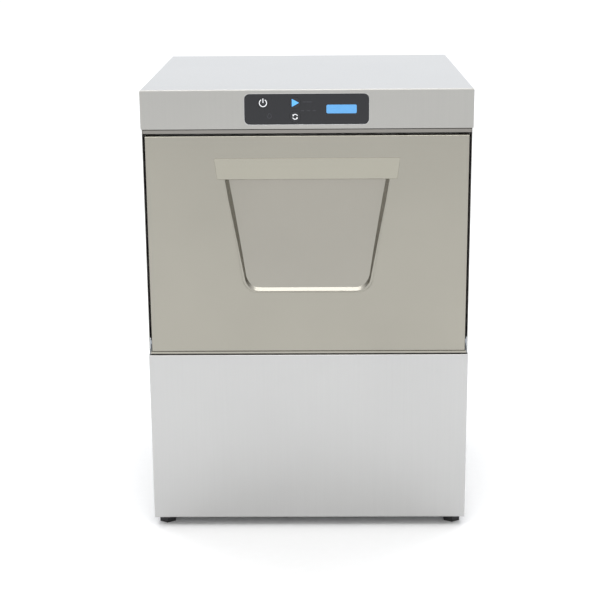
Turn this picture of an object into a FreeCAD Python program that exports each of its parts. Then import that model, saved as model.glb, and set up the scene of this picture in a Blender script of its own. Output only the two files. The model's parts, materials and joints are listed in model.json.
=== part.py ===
import FreeCAD, Part
import math
import os

V = FreeCAD.Vector

# ---------------------------------------------------------------------------
# Driving dimensions, in millimetres.  X is to the right, Y goes back into the
# machine, Z is up.  The origin is on the floor, under the middle of the body.
# ---------------------------------------------------------------------------

# Overall
WIDTH = 575.0
DEPTH = 590.0
HEIGHT = 810.0

# Bodywork
SHEET = 1.0
BEND = 3.0
FOOT_HEIGHT = 18.0
LOWER_PANEL_H = 316.0
COVER_H = 68.0
COVER_LAP = 0.5
REAR_RECESS = 28.0
BASE_LIFT = 2.0
TRAY_EDGE = 26.0
TRAY_T = 1.2
TRAY_BEND = 2.5
TRAY_SET_BACK = 22.0
APRON_HEM = 12.0
WALL_RETURN = 14.0
PANEL_RETURN = 14.0
PANEL_TOP_RETURN = 6.0
RAIL_APRON = 22.0
COVER_VENTS = 7
COVER_VENT_W = 22.0
BACK_VENT_ROWS = 8
BACK_VENT_W = 80.0
BACK_VENT_PITCH = 12.0
VENT_H = 4.0

# Feet
FOOT_HEX_R = 16.5
FOOT_IN_X = 21.5
FOOT_IN_Y = 35.0
FOOT_PAD_H = 14.0
STUD_R = 5.0
STUD_L = 32.0
FOOT_NUT_R = 9.0
FOOT_NUT_H = 10.0

# Door
DOOR_THICK = 34.0
DOOR_SIDE_GAP = 3.5
DOOR_TOP_GAP = 11.5
DOOR_FOOT_GAP = 6.5
DOOR_FIELD_RISE = 6.0
INNER_SKIN_FIT = 0.2
HINGE_IN = 12.0
HINGE_UP = 15.0
PIN_R = 4.0
RUNNING_FIT = 0.05
DOOR_OPEN_DEG = 90.0
DOOR_INNER_DEPTH = 13.0
STILE_W = 20.0
STILE_T = 1.5
DOOR_SCREW_UP = 65.5
DOOR_SCREW_R = 2.5
SCREW_HEAD_R = 4.5
HINGE_PLATE_T = 2.0

# Grip strip and finger pocket
STRIP_PROUD = 1.5
STRIP_TOP_BELOW_EDGE = 39.5
STRIP_H = 37.0
STRIP_TOP_HALF = 162.0
STRIP_FOOT_HALF = 157.0
STRIP_LIP = 8.0
POCKET_TOP_HALF = 144.5
POCKET_FOOT_HALF = 112.5
POCKET_H = 202.5
POCKET_BEHIND_STRIP = 24.0
POCKET_CORNER_R = 27.0
POCKET_DEEP = 26.0
POCKET_SHALLOW = 5.0
POCKET_RIM = 9.0

# Control panel
OVERLAY_W = 213.5
OVERLAY_H = 51.8
OVERLAY_R = 8.5
OVERLAY_T = 3.0
OVERLAY_PROUD = 0.4
OVERLAY_FIT = 0.3
KEY_R = 9.5
KEY_GAP = 0.3
KEY_TRAVEL = 0.6
POWER_X = -75.0
PROGRAM_X = -20.0
KEY_UPPER = 11.0
KEY_LOWER = -13.0
LENS_X = 60.0
LENS_W = 52.0
LENS_H = 15.0
LENS_R = 2.5
KEY_STEM_R = 3.0
KEY_STEM_L = 7.0
HOUSING_D = 26.0
HOUSING_WALL = 2.0
BOARD_T = 1.6
BOARD_BEHIND_SEAT = 9.0

# Wash chamber
TUB_SET_BACK = 44.0
TUB_HALF = 264.0
TUB_FLOOR_ABOVE_RAIL = 1.0
TUB_REAR_GAP = 4.0
TUB_CORNER_R = 26.0
MOUTH_HALF = 256.0
MOUTH_SILL = 45.0
MOUTH_HEAD = 20.0
MOUTH_CORNER_R = 14.0
LAND = 11.5
GASKET_GAP = 0.3
SUMP_W = 420.0
SUMP_D = 400.0
SUMP_DROP = 86.0
SUMP_TAPER = 20.0
SUMP_CORNER_R = 40.0
WELL_R = 60.0
WELL_DROP = 34.0
WELL_X = -128.0
HEATER_X = (60.0, 165.0)
HEATER_R = 4.0
HEATER_UP = 14.0
HEATER_BEND = 18.0
STANDPIPE_R = 15.0
FILTER_T = 1.5
BASKET_GAP = 6.0
BASKET_T = 1.2

# Spray arms
ARM_REACH = 236.0
WASH_ARM_ROOT = 42.0
WASH_ARM_TIP = 24.0
WASH_ARM_T = 14.0
RINSE_ARM_W = 16.0
RINSE_ARM_T = 9.0
HUB_T = 20.0
RINSE_HUB_T = 11.0
WASH_HUB_R = 26.0
RINSE_HUB_R = 17.0
JOURNAL_R = 10.0
ARM_STEP = 1.0
JETS = 5
WASH_JET = 5.0
RINSE_JET = 2.5
JET_W = 3.2
SPINDLE_FLANGE_R = 27.0

# Rack
RACK = 500.0
RACK_H = 100.0
RACK_WALL = 4.0
RACK_CELLS = 9
RACK_RIB = 8.0
RACK_WINDOWS = 5
RACK_REAR_GAP = 1.0
RACK_LIFT = 0.3
RAIL_LEDGE = 26.0
RAIL_T = 1.5
RAIL_ABOVE_SILL = 5.0

# Counterbalance
LEVER_R = 34.0
LEVER_START_DEG = -80.0
LEVER_T = 3.5
LEVER_W = 16.0
ROD_R = 3.0
ROD_LEN = 246.0
ROD_GAP = 0.3
SPRING_OUTER_R = 9.0
SPRING_INNER_R = 6.5
BRACKET_DROP = 160.0
BRACKET_T = 4.0
ROD_AT_BRACKET = 14.8
SLOT_TRAVEL = 10.2
LEVER_PIN_R = 3.0
ROD_EYE_R = 7.0
WASHER_UP = 16.0
NUT_HEX_R = 6.5

# Bay under the chamber
PUMP_Y = 20.0
PUMP_Z = 108.0
MOTOR_R = 62.0
MOTOR_L = 150.0
VOLUTE_R = 74.0
VOLUTE_W = 50.0
VOLUTE_WALL = 4.0
IMPELLER_R = 54.0
SHAFT_R = 7.0
COWL_L = 34.0
VOLUTE_X0 = -74.0
BOILER_R = 66.0
BOILER_L = 290.0
BOILER_X0 = -200.0
BOILER_DOME = 18.0
BOILER_Y = 176.0
BOILER_Z = 104.0
DRAIN_R = 16.0
DRAIN_WALL = 3.0
PORT_SHOULDER = 1.3
PORT_STEP = 2.0
WASH_PIPE_R = 9.0
RINSE_PIPE_R = 6.0
INLET_R = 13.2
GLAND_R = 10.0
CORD_BORE_R = 6.0
DRAIN_X = 130.0
INLET_X = 215.0
GLAND_X = -235.0
BOX_X0 = -250.0
BOX_W = 138.0
BOX_D = 66.0
BOX_H = 150.0
DOSING_X = (128.0, 208.0)
DOSING_R = 29.0
DOSING_GEAR = 52.0

# ---------------------------------------------------------------------------
# Places that follow from the driving dimensions
# ---------------------------------------------------------------------------

FRONT = -DEPTH / 2 + STRIP_PROUD
REAR = DEPTH / 2
COVER_Z = HEIGHT - COVER_H
COVER_IN = WIDTH / 2 - SHEET
SIDE_OUT = COVER_IN - COVER_LAP
SIDE_IN = SIDE_OUT - SHEET
PANEL_TOP = FOOT_HEIGHT + LOWER_PANEL_H
TRAY_Z = FOOT_HEIGHT + BASE_LIFT
BACK_Y = REAR - REAR_RECESS

DOOR_HALF = SIDE_IN - DOOR_SIDE_GAP
DOOR_Z0 = PANEL_TOP + DOOR_FOOT_GAP
DOOR_Z1 = COVER_Z - DOOR_TOP_GAP
DOOR_BACK = FRONT + DOOR_THICK
HINGE_Y = FRONT + HINGE_IN
HINGE_Z = DOOR_Z0 + HINGE_UP

TUB_FRONT = FRONT + TUB_SET_BACK
TUB_BACK = BACK_Y - SHEET - TUB_REAR_GAP
TUB_Z0 = PANEL_TOP + TUB_FLOOR_ABOVE_RAIL
TUB_Z1 = DOOR_Z1 + 3.5
TUB_Y = (TUB_FRONT + TUB_BACK) / 2
MOUTH_Z0 = TUB_Z0 + MOUTH_SILL
MOUTH_Z1 = TUB_Z1 - MOUTH_HEAD
LAND_HALF = MOUTH_HALF + LAND
SUMP_Z = TUB_Z0 - SUMP_DROP
WELL_Z = SUMP_Z - WELL_DROP

RAIL_Z = MOUTH_Z0 + RAIL_ABOVE_SILL
RACK_Z = RAIL_Z + RACK_LIFT
RACK_Y1 = TUB_BACK - SHEET - RACK_REAR_GAP
RACK_Y0 = RACK_Y1 - RACK

LEVER_X1 = DOOR_HALF - SHEET - 2.0
LEVER_X0 = LEVER_X1 - LEVER_T
ROD_X = LEVER_X0 - ROD_GAP - ROD_R
BRACKET_TOP = HINGE_Z - BRACKET_DROP + BRACKET_T / 2
BRACKET_FOOT = BRACKET_TOP - BRACKET_T

PARTS = {}


# ---------------------------------------------------------------------------
# Geometry helpers
# ---------------------------------------------------------------------------

def box(x0, x1, y0, y1, z0, z1):
    """A block between two corners."""
    return Part.makeBox(x1 - x0, y1 - y0, z1 - z0, V(x0, y0, z0))


def bar(start, direction, radius, length):
    """A round bar from a point along a direction."""
    return Part.makeCylinder(radius, length, V(*start), V(*direction))


def ring(start, direction, outer, inner, length):
    """A round tube from a point along a direction."""
    return bar(start, direction, outer, length).cut(bar(start, direction, inner, length))


def fuse(shapes):
    """One clean solid from shapes that touch or overlap."""
    first = shapes[0]
    return first.fuse(list(shapes[1:])).removeSplitter()


def mirror_x(shape):
    """The same shape on the other side of the machine."""
    return shape.mirror(V(0, 0, 0), V(1, 0, 0))


def pair(shape):
    """A right-hand shape and its left-hand twin, as separate solids."""
    return Part.makeCompound(shape.Solids + mirror_x(shape).Solids)


def on_plane(plane, u, v, level):
    """A point of a flat outline, on the XY, XZ or YZ plane at a level."""
    if plane == "xy":
        return V(u, v, level)
    if plane == "xz":
        return V(u, level, v)
    return V(level, u, v)


def rounded_path(points, radii, closed):
    """Straight edges through points, with a tangent arc at each rounded one."""
    count = len(points)
    starts = []
    ends = []
    middles = []
    for i, point in enumerate(points):
        radius = radii[i]
        inside = closed or 0 < i < count - 1
        if radius <= 0 or not inside:
            starts.append(point)
            ends.append(point)
            middles.append(None)
            continue
        back = (points[i - 1] - point).normalize()
        onward = (points[(i + 1) % count] - point).normalize()
        half = back.getAngle(onward) / 2
        reach = radius / math.tan(half)
        inward = (back + onward).normalize()
        starts.append(point + back * reach)
        ends.append(point + onward * reach)
        middles.append(point + inward * (radius / math.sin(half) - radius))
    edges = []
    for i in range(count):
        if middles[i] is not None:
            edges.append(Part.Arc(starts[i], middles[i], ends[i]).toShape())
        follow = (i + 1) % count
        if follow == 0 and not closed:
            break
        if (starts[follow] - ends[i]).Length > 1e-6:
            edges.append(Part.LineSegment(ends[i], starts[follow]).toShape())
    return Part.Wire(edges)


def outline(plane, corners, radii, level):
    """A closed flat outline with rounded corners."""
    if not isinstance(radii, (list, tuple)):
        radii = [radii] * len(corners)
    return rounded_path([on_plane(plane, u, v, level) for u, v in corners], radii, True)


def prism(plane, corners, radii, low, high):
    """A flat outline made solid between two levels."""
    face = Part.Face(outline(plane, corners, radii, low))
    return face.extrude(on_plane(plane, 0, 0, high) - on_plane(plane, 0, 0, low))


def rectangle(u0, u1, v0, v1):
    """The four corners of a rectangle."""
    return [(u0, v0), (u1, v0), (u1, v1), (u0, v1)]


def loft(wires):
    """A solid with straight rulings through closed outlines."""
    return Part.makeLoft(wires, True, True)


def bent_tube(points, bend, outer, inner):
    """A round tube along straight runs joined by tangent bends."""
    corners = [V(*p) for p in points]
    path = rounded_path(corners, [bend] * len(corners), False)
    along = corners[1] - corners[0]

    def sweep(radius):
        circle = Part.Wire(Part.makeCircle(radius, corners[0], along))
        return path.makePipeShell([circle], True, True)

    solid = sweep(outer)
    if inner > 0:
        solid = solid.cut(sweep(inner))
    return solid


def edges_where(shape, test):
    """Straight or curved edges whose two ends both pass a test."""
    return [e for e in shape.Edges if all(test(v.Point) for v in e.Vertexes)]


def pan(x0, x1, y0, y1, z0, z1, closed, sheet=SHEET, bend=BEND):
    """A folded sheet-metal pan, closed on one side: front, rear, top or foot."""
    tests = {
        "front": (lambda p, a: abs(p.y - a), y0, 1),
        "rear": (lambda p, a: abs(p.y - a), y1, -1),
        "top": (lambda p, a: abs(p.z - a), z1, -1),
        "foot": (lambda p, a: abs(p.z - a), z0, 1),
    }
    distance, level, step = tests[closed]
    outer = box(x0, x1, y0, y1, z0, z1)
    outer = outer.makeFillet(bend, edges_where(outer, lambda p: distance(p, level) < 1e-6))
    past = 5 * sheet
    ix0, ix1 = x0 + sheet, x1 - sheet
    iy0, iy1, iz0, iz1 = y0 + sheet, y1 - sheet, z0 + sheet, z1 - sheet
    if closed == "front":
        iy1 = y1 + past
    if closed == "rear":
        iy0 = y0 - past
    if closed == "top":
        iz0 = z0 - past
    if closed == "foot":
        iz1 = z1 + past
    inner = box(ix0, ix1, iy0, iy1, iz0, iz1)
    floor = level + step * sheet
    inner = inner.makeFillet(bend - sheet, edges_where(inner, lambda p: distance(p, floor) < 1e-6))
    return outer.cut(inner)


def hexagon(centre, radius, axis, length):
    """A six-sided prism, with one corner to the front."""
    turned = [math.radians(30 + 60 * i) for i in range(6)]
    points = [V(radius * math.cos(a), radius * math.sin(a), 0) for a in turned]
    wire = Part.makePolygon(points + [points[0]])
    solid = Part.Face(wire).extrude(V(0, 0, length))
    solid.Placement = FreeCAD.Placement(V(*centre), FreeCAD.Rotation(V(0, 0, 1), V(*axis)))
    return solid


def add(name, shape):
    """Keep a finished piece under its node name."""
    solids = shape.Solids
    PARTS[name] = solids[0] if len(solids) == 1 else Part.makeCompound(solids)


# ---------------------------------------------------------------------------
# Bodywork
# ---------------------------------------------------------------------------

def overlay_corners(grow):
    """Corners of the control overlay's outline, grown by a margin."""
    middle = COVER_Z + COVER_H / 2
    half_w = OVERLAY_W / 2 + grow
    half_h = OVERLAY_H / 2 + grow
    return rectangle(-half_w, half_w, middle - half_h, middle + half_h)


def top_cover():
    """Lid with a deep front apron that carries the controls."""
    lid = pan(-WIDTH / 2, WIDTH / 2, FRONT, REAR, COVER_Z, HEIGHT, "top")
    lip = box(-COVER_IN + 4, COVER_IN - 4, FRONT + SHEET, FRONT + APRON_HEM, COVER_Z, COVER_Z + SHEET)
    window = prism("xz", overlay_corners(OVERLAY_FIT), OVERLAY_R, FRONT - 1, FRONT + 2 * SHEET)
    slots = []
    half = COVER_VENT_W / 2
    for i in range(COVER_VENTS):
        middle = (i - (COVER_VENTS - 1) / 2) * (COVER_VENT_W + 12)
        for low in (COVER_Z + 14, COVER_Z + 26):
            slots.append(box(middle - half, middle + half, REAR - 2, REAR + 1, low, low + VENT_H))
    return fuse([lid, lip]).cut([window] + slots)


def side_panel():
    """Right side wall, with a return along its rear edge."""
    front = FRONT + BEND - SHEET
    top = HEIGHT - 10.0
    foot = TRAY_Z + COVER_LAP
    wall = box(SIDE_IN, SIDE_OUT, front, BACK_Y, foot, top)
    rear = box(SIDE_IN - WALL_RETURN, SIDE_OUT, BACK_Y - SHEET, BACK_Y, foot, top)
    return fuse([wall, rear])


def lower_front_panel():
    """Removable front panel below the door, wrapped round the side walls."""
    shell = pan(-WIDTH / 2, WIDTH / 2, FRONT, FRONT + PANEL_RETURN, FOOT_HEIGHT, PANEL_TOP, "front")
    trim = box(-COVER_IN, COVER_IN, FRONT + PANEL_TOP_RETURN, REAR, PANEL_TOP - 2 * SHEET, PANEL_TOP + 1)
    corner = box(SIDE_IN - 1, COVER_IN, FRONT + SHEET + 0.2, REAR, PANEL_TOP - BEND, PANEL_TOP + 1)
    return shell.cut([trim, corner, mirror_x(corner)])


def back_panel():
    """Rear wall with ventilation slots and the three service openings."""
    half = SIDE_IN - WALL_RETURN
    wall = box(-half, half, BACK_Y - SHEET, BACK_Y, TRAY_Z + TRAY_EDGE, COVER_Z + 30)
    cuts = []
    for row in range(BACK_VENT_ROWS):
        low = TRAY_Z + 185 + row * BACK_VENT_PITCH
        for middle in (-1.5 * BACK_VENT_W, 1.5 * BACK_VENT_W):
            cuts.append(box(middle - BACK_VENT_W / 2, middle + BACK_VENT_W / 2, BACK_Y - 3, BACK_Y + 1,
                            low, low + VENT_H))
    for x, z, radius in service_ports():
        cuts.append(bar((x, BACK_Y - 5, z), (0, 1, 0), radius, 10))
    return wall.cut(cuts)


def service_ports():
    """Place and hole radius of the drain, the water inlet and the cable gland."""
    low = TRAY_Z + TRAY_EDGE
    return [
        (DRAIN_X, low + 24, DRAIN_R + PORT_SHOULDER),
        (INLET_X, low + 34, INLET_R + PORT_SHOULDER),
        (GLAND_X, low + 34, GLAND_R),
    ]


def base_tray():
    """Floor of the machine with turned-up edges and the welded foot nuts."""
    front = FRONT + TRAY_SET_BACK
    rear = BACK_Y - 2 * SHEET
    top = TRAY_Z + TRAY_EDGE
    tray = pan(-SIDE_IN, SIDE_IN, front, rear, TRAY_Z, top, "foot", TRAY_T, TRAY_BEND)
    nuts = []
    holes = []
    for x, y in foot_places():
        nuts.append(bar((x, y, TRAY_Z + TRAY_T), (0, 0, 1), FOOT_NUT_R, FOOT_NUT_H))
        holes.append(bar((x, y, TRAY_Z - 1), (0, 0, 1), STUD_R + RUNNING_FIT, FOOT_NUT_H + 4))
    vents = []
    for i in range(6):
        middle = (i - 2.5) * 60.0
        slot = rectangle(middle - 18, middle + 18, front + 58, front + 66)
        vents.append(prism("xy", slot, 3.9, TRAY_Z - 1, TRAY_Z + 3))
    return fuse([tray] + nuts).cut(holes + vents)


def foot_places():
    """Centres of the four feet: front left, front right, rear left, rear right."""
    x = WIDTH / 2 - FOOT_IN_X
    y_front = FRONT + FOOT_IN_Y
    y_rear = BACK_Y - FOOT_IN_Y
    return [(-x, y_front), (x, y_front), (-x, y_rear), (x, y_rear)]


def levelling_foot(x, y):
    """Hexagonal pad with a collar and a threaded stud."""
    pad = hexagon((x, y, 0), FOOT_HEX_R, (0, 0, 1), FOOT_PAD_H)
    rise = FOOT_HEIGHT - FOOT_PAD_H - 0.5
    collar = Part.makeCone(FOOT_HEX_R - 3.5, FOOT_HEX_R - 6.5, rise, V(x, y, FOOT_PAD_H))
    stud = bar((x, y, FOOT_HEIGHT - 0.5), (0, 0, 1), STUD_R, STUD_L)
    return fuse([pad, collar, stud])


def upper_front_rail():
    """Folded rail between the door's top edge and the cover."""
    front = FRONT + 5.0
    top = COVER_Z - 1.5
    half = SIDE_IN
    strip = box(-half, half, front, front + SHEET, TUB_Z1, top)
    foot = box(-half, half, front, TUB_FRONT + 18, TUB_Z1, TUB_Z1 + SHEET)
    head = box(-half, half, front, front + 16, top - SHEET, top)
    rail = fuse([strip, foot, head])
    nose = edges_where(rail, lambda p: abs(p.y - front) < 1e-6 and abs(p.z - top) < 1e-6)
    return rail.makeFillet(0.9, nose)


def lower_front_rail():
    """Folded rail between the lower panel and the door's foot."""
    half = LAND_HALF - 1.0
    front = FRONT + 9.0
    head = box(-half, half, front, TUB_FRONT - 1.0, PANEL_TOP - SHEET, PANEL_TOP)
    apron = box(-half, half, front, front + SHEET, PANEL_TOP - RAIL_APRON, PANEL_TOP)
    rear = box(-half, half, TUB_FRONT - 2.0, TUB_FRONT - 1.0, PANEL_TOP - RAIL_APRON, PANEL_TOP)
    rail = fuse([head, apron, rear])
    nose = edges_where(rail, lambda p: abs(p.y - front) < 1e-6 and abs(p.z - PANEL_TOP) < 1e-6)
    return rail.makeFillet(0.9, nose)


def door_jambs():
    """Flat jambs beside the chamber's mouth, each with a window for its lever."""
    plate = box(-SIDE_IN, SIDE_IN, TUB_FRONT + SHEET, TUB_FRONT + 2 * SHEET, HINGE_Z - 60, TUB_Z1)
    inside = box(-TUB_HALF, TUB_HALF, TUB_FRONT, TUB_FRONT + 3 * SHEET, HINGE_Z - 80, TUB_Z1 + 1)
    clear = LEVER_R + LEVER_W / 2 + 3
    window = box(TUB_HALF + 1, LEVER_X1 + 2, TUB_FRONT, TUB_FRONT + 3 * SHEET,
                 HINGE_Z - 80, HINGE_Z + clear)
    return plate.cut([inside, window, mirror_x(window)])


def hinge_bracket():
    """Right hinge plate with its riveted pin."""
    x0 = SIDE_IN - HINGE_PLATE_T
    y1 = TUB_FRONT + SHEET
    low = HINGE_Z - 55
    ear = HINGE_Y - 7.5
    corners = [(ear + 2, low), (y1, low), (y1, HINGE_Z + 22), (ear, HINGE_Z + 9), (ear, HINGE_Z - 8),
               (ear + 2, HINGE_Z - 14)]
    plate = prism("yz", corners, [4, 0, 0, 7, 0, 0], x0, SIDE_IN)
    pin = bar((LEVER_X0 - 2, HINGE_Y, HINGE_Z), (1, 0, 0), PIN_R, x0 + 1 - LEVER_X0 + 2)
    shoulder = bar((DOOR_HALF + 0.4, HINGE_Y, HINGE_Z), (1, 0, 0), PIN_R + 2, x0 - DOOR_HALF - 0.4)
    return fuse([plate, pin, shoulder])


# ---------------------------------------------------------------------------
# Controls
# ---------------------------------------------------------------------------

def key_places():
    """Centre of each soft key on the overlay."""
    middle = COVER_Z + COVER_H / 2
    return {
        "power_key": (POWER_X, middle + KEY_UPPER),
        "start_key": (PROGRAM_X, middle + KEY_UPPER),
        "cycle_key": (PROGRAM_X, middle + KEY_LOWER),
    }


def lens_corners(grow):
    """Corners of the status lens."""
    middle = COVER_Z + COVER_H / 2
    return rectangle(LENS_X - LENS_W / 2 - grow, LENS_X + LENS_W / 2 + grow,
                     middle - LENS_H / 2 - grow, middle + LENS_H / 2 + grow)


def control_overlay():
    """Smoked front plate with openings for the keys and the status lens."""
    face = FRONT - OVERLAY_PROUD
    plate = prism("xz", overlay_corners(0), OVERLAY_R, face, face + OVERLAY_T)
    cuts = []
    for x, z in key_places().values():
        cuts.append(bar((x, face - 1, z), (0, 1, 0), KEY_R + KEY_GAP, OVERLAY_T + 2))
    cuts.append(prism("xz", lens_corners(0), LENS_R, face - 1, face + OVERLAY_T + 1))
    return plate.cut(cuts)


def status_lens():
    """Plain light window, flush with the overlay."""
    face = FRONT - OVERLAY_PROUD
    return prism("xz", lens_corners(0), LENS_R, face, face + OVERLAY_T)


def soft_key(x, z):
    """Round key cap with the stem that reaches its switch."""
    face = FRONT - OVERLAY_PROUD
    cap = bar((x, face, z), (0, 1, 0), KEY_R, OVERLAY_T - KEY_TRAVEL - 0.2)
    stem = bar((x, face, z), (0, 1, 0), KEY_STEM_R, KEY_STEM_L)
    return fuse([cap, stem])


def control_housing():
    """Plastic box behind the apron that holds the circuit board."""
    behind = FRONT + SHEET
    seat = FRONT - OVERLAY_PROUD + OVERLAY_T
    back = behind + HOUSING_D
    wall = HOUSING_WALL
    shell = prism("xz", overlay_corners(5.0), OVERLAY_R + 3, behind, back)
    cuts = [
        prism("xz", overlay_corners(OVERLAY_FIT), OVERLAY_R, behind - 1, seat),
        prism("xz", overlay_corners(2.0), OVERLAY_R, seat + wall, back - wall),
        prism("xz", lens_corners(-2.0), 1.0, behind, seat + 2 * wall),
    ]
    for x, z in key_places().values():
        cuts.append(bar((x, behind, z), (0, 1, 0), KEY_STEM_R + 1, 2 * wall + seat - behind))
    return shell.cut(cuts)


def control_board():
    """Circuit board with a switch behind each key, relays and a lamp."""
    seat = FRONT - OVERLAY_PROUD + OVERLAY_T + BOARD_BEHIND_SEAT
    middle = COVER_Z + COVER_H / 2
    half_w = OVERLAY_W / 2 - 1.0
    half_h = OVERLAY_H / 2 - 1.0
    rear = seat + BOARD_T
    pieces = [box(-half_w, half_w, seat, rear, middle - half_h, middle + half_h)]
    for x, z in key_places().values():
        pieces.append(box(x - 6, x + 6, seat - 3.5, seat, z - 6, z + 6))
        pieces.append(bar((x, seat - 4.3, z), (0, 1, 0), 2.5, 1.0))
    for i in range(3):
        left = -90.0 + i * 30.0
        pieces.append(box(left, left + 20, rear, rear + 8.4, middle - 20, middle - 5))
    pieces.append(box(LENS_X - 20, LENS_X + 20, seat - 5, seat, middle - 5, middle + 5))
    return fuse(pieces)


# ---------------------------------------------------------------------------
# Door
# ---------------------------------------------------------------------------

STRIP_TOP = DOOR_Z1 - STRIP_TOP_BELOW_EDGE
STRIP_FOOT = STRIP_TOP - STRIP_H
POCKET_TOP = STRIP_FOOT + POCKET_BEHIND_STRIP
POCKET_FOOT = STRIP_FOOT - POCKET_H


def pocket_wire(grow, depth):
    """Outline of the pressed pocket at a depth behind the skin."""
    draft = 0.18 * depth
    slope = (POCKET_TOP_HALF - POCKET_FOOT_HALF) / (POCKET_H - POCKET_CORNER_R)
    top_half = POCKET_TOP_HALF + slope * POCKET_BEHIND_STRIP + grow - draft
    foot_half = POCKET_FOOT_HALF - slope * POCKET_CORNER_R + grow - draft
    low = POCKET_FOOT - grow + 1.15 * depth
    high = POCKET_TOP + grow
    corners = [(-foot_half, low), (foot_half, low), (top_half, high), (-top_half, high)]
    foot_r = POCKET_CORNER_R + grow - draft
    return outline("xz", corners, [foot_r, foot_r, 4.0 + grow, 4.0 + grow], FRONT + depth)


def pocket_well(grow, front):
    """Space of the finger pocket: shallow at its foot, deep behind the strip."""
    far = POCKET_DEEP + 4.0
    tapered = loft([pocket_wire(grow, 0), pocket_wire(grow, far)])
    floor_low = FRONT + POCKET_SHALLOW + grow
    floor_high = FRONT + POCKET_DEEP + grow
    wedge = prism("yz", [(front, POCKET_FOOT - 20), (floor_low, POCKET_FOOT - 20), (floor_low, POCKET_FOOT),
                         (floor_high, STRIP_FOOT), (floor_high, POCKET_TOP + 20), (front, POCKET_TOP + 20)],
                  0, -WIDTH / 2, WIDTH / 2)
    return tapered.common(wedge)


def finger_pocket():
    """Pressed pocket pan behind the skin, with a narrow rim."""
    behind = FRONT + SHEET
    shell = pocket_well(SHEET, behind)
    rim_wire = pocket_wire(POCKET_RIM, 0)
    rim_wire.translate(V(0, SHEET, 0))
    rim = Part.Face(rim_wire).extrude(V(0, SHEET, 0))
    return fuse([shell, rim]).cut(pocket_well(0, FRONT))


def grip_strip():
    """Raised plate across the pocket's head, with a lip for the fingers."""
    face = FRONT - STRIP_PROUD
    corners = [(-STRIP_FOOT_HALF, STRIP_FOOT), (STRIP_FOOT_HALF, STRIP_FOOT),
               (STRIP_TOP_HALF, STRIP_TOP), (-STRIP_TOP_HALF, STRIP_TOP)]
    plate = prism("xz", corners, 2.0, face, FRONT)
    lip_half = POCKET_TOP_HALF - 4.0
    lip = box(-lip_half, lip_half, face + 0.5, FRONT + STRIP_LIP, STRIP_FOOT, STRIP_FOOT + STRIP_PROUD)
    strip = fuse([plate, lip])
    rim = edges_where(strip, lambda p: abs(p.y - face) < 1e-6)
    return strip.makeChamfer(0.6, rim)


def door_outer_skin():
    """Front pan of the door, open for the pocket and notched for the levers."""
    skin = pan(-DOOR_HALF, DOOR_HALF, FRONT, DOOR_BACK - 2, DOOR_Z0, DOOR_Z1, "front")
    inside = DOOR_HALF - SHEET
    foot_return = box(-inside, inside, FRONT + 13, REAR, DOOR_Z0 - 1, DOOR_Z0 + 2 * SHEET)
    notch = box(LEVER_X0 - 1.5, inside, FRONT + BEND, REAR, DOOR_Z0 - 1, DOOR_Z0 + 2 * SHEET)
    mouth = Part.Face(pocket_wire(0, 0)).extrude(V(0, 2 * SHEET, 0))
    bore = bar((-DOOR_HALF - 1, HINGE_Y, HINGE_Z), (1, 0, 0), PIN_R + RUNNING_FIT, WIDTH)
    screw = bar((-DOOR_HALF - 1, HINGE_Y, screw_height()), (1, 0, 0), DOOR_SCREW_R, WIDTH)
    return skin.cut([foot_return, notch, mirror_x(notch), mouth, bore, screw])


def screw_height():
    """Height of the screw that ties skin and frame on each side of the door."""
    return HINGE_Z + DOOR_SCREW_UP


def door_inner_panel():
    """Rear pan of the door with a raised field inside the seal."""
    half = DOOR_HALF - SHEET - INNER_SKIN_FIT
    low = HINGE_Z + 0.5
    high = DOOR_Z1 - SHEET - INNER_SKIN_FIT
    shell = pan(-half, half, DOOR_BACK - DOOR_INNER_DEPTH, DOOR_BACK, low, high, "rear")

    def field(inset, y0, y1):
        def at(level, extra):
            reach = MOUTH_HALF - 14 - inset - extra
            foot = MOUTH_Z0 + 8 + inset + extra
            head = MOUTH_Z1 - 8 - inset - extra
            return outline("xz", rectangle(-reach, reach, foot, head), 16.0, level)
        return loft([at(y0, 0), at(y1, DOOR_FIELD_RISE)])

    raised = field(0, DOOR_BACK, DOOR_BACK + DOOR_FIELD_RISE)
    hollow = field(SHEET, DOOR_BACK - SHEET, DOOR_BACK + DOOR_FIELD_RISE - SHEET)
    reach = MOUTH_HALF - 15
    opening = prism("xz", rectangle(-reach, reach, MOUTH_Z0 + 9, MOUTH_Z1 - 9), 16.0,
                    DOOR_BACK - 2 * SHEET, DOOR_BACK)
    return fuse([shell.cut(opening), raised]).cut(hollow)


def door_side_frame():
    """Right-hand stile inside the door, bored for the hinge pin."""
    inside = DOOR_HALF - SHEET
    y0 = FRONT + SHEET
    y1 = DOOR_BACK - DOOR_INNER_DEPTH - STILE_T
    z0 = DOOR_Z0 + 3
    z1 = DOOR_Z1 - 4
    leg = inside - 2
    angle = [(inside - STILE_W, y0), (inside, y0), (inside, y1), (leg, y1), (leg, y0 + STILE_T),
             (inside - STILE_W, y0 + STILE_T)]
    stile = prism("xy", angle, [0, BEND - SHEET + 0.2, 0, 0, 0, 0], z0, z1)
    bore = bar((inside - 5, HINGE_Y, HINGE_Z), (1, 0, 0), PIN_R + RUNNING_FIT, 10)
    screw = bar((inside - 5, HINGE_Y, screw_height()), (1, 0, 0), DOOR_SCREW_R, 10)
    return stile.cut([bore, screw])


def door_screw():
    """Right-hand screw through the skin, the stile and the lever."""
    up = screw_height()
    shank = bar((LEVER_X0, HINGE_Y, up), (1, 0, 0), DOOR_SCREW_R, DOOR_HALF - LEVER_X0)
    head = Part.makeCone(SCREW_HEAD_R, SCREW_HEAD_R - 1.5, 1.3, V(DOOR_HALF, HINGE_Y, up), V(1, 0, 0))
    return fuse([shank, head])


def lever_pin_place(open_deg):
    """Place of the rod pin at a door angle, as y and z."""
    angle = math.radians(LEVER_START_DEG + open_deg)
    return HINGE_Y + LEVER_R * math.cos(angle), HINGE_Z + LEVER_R * math.sin(angle)


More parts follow.
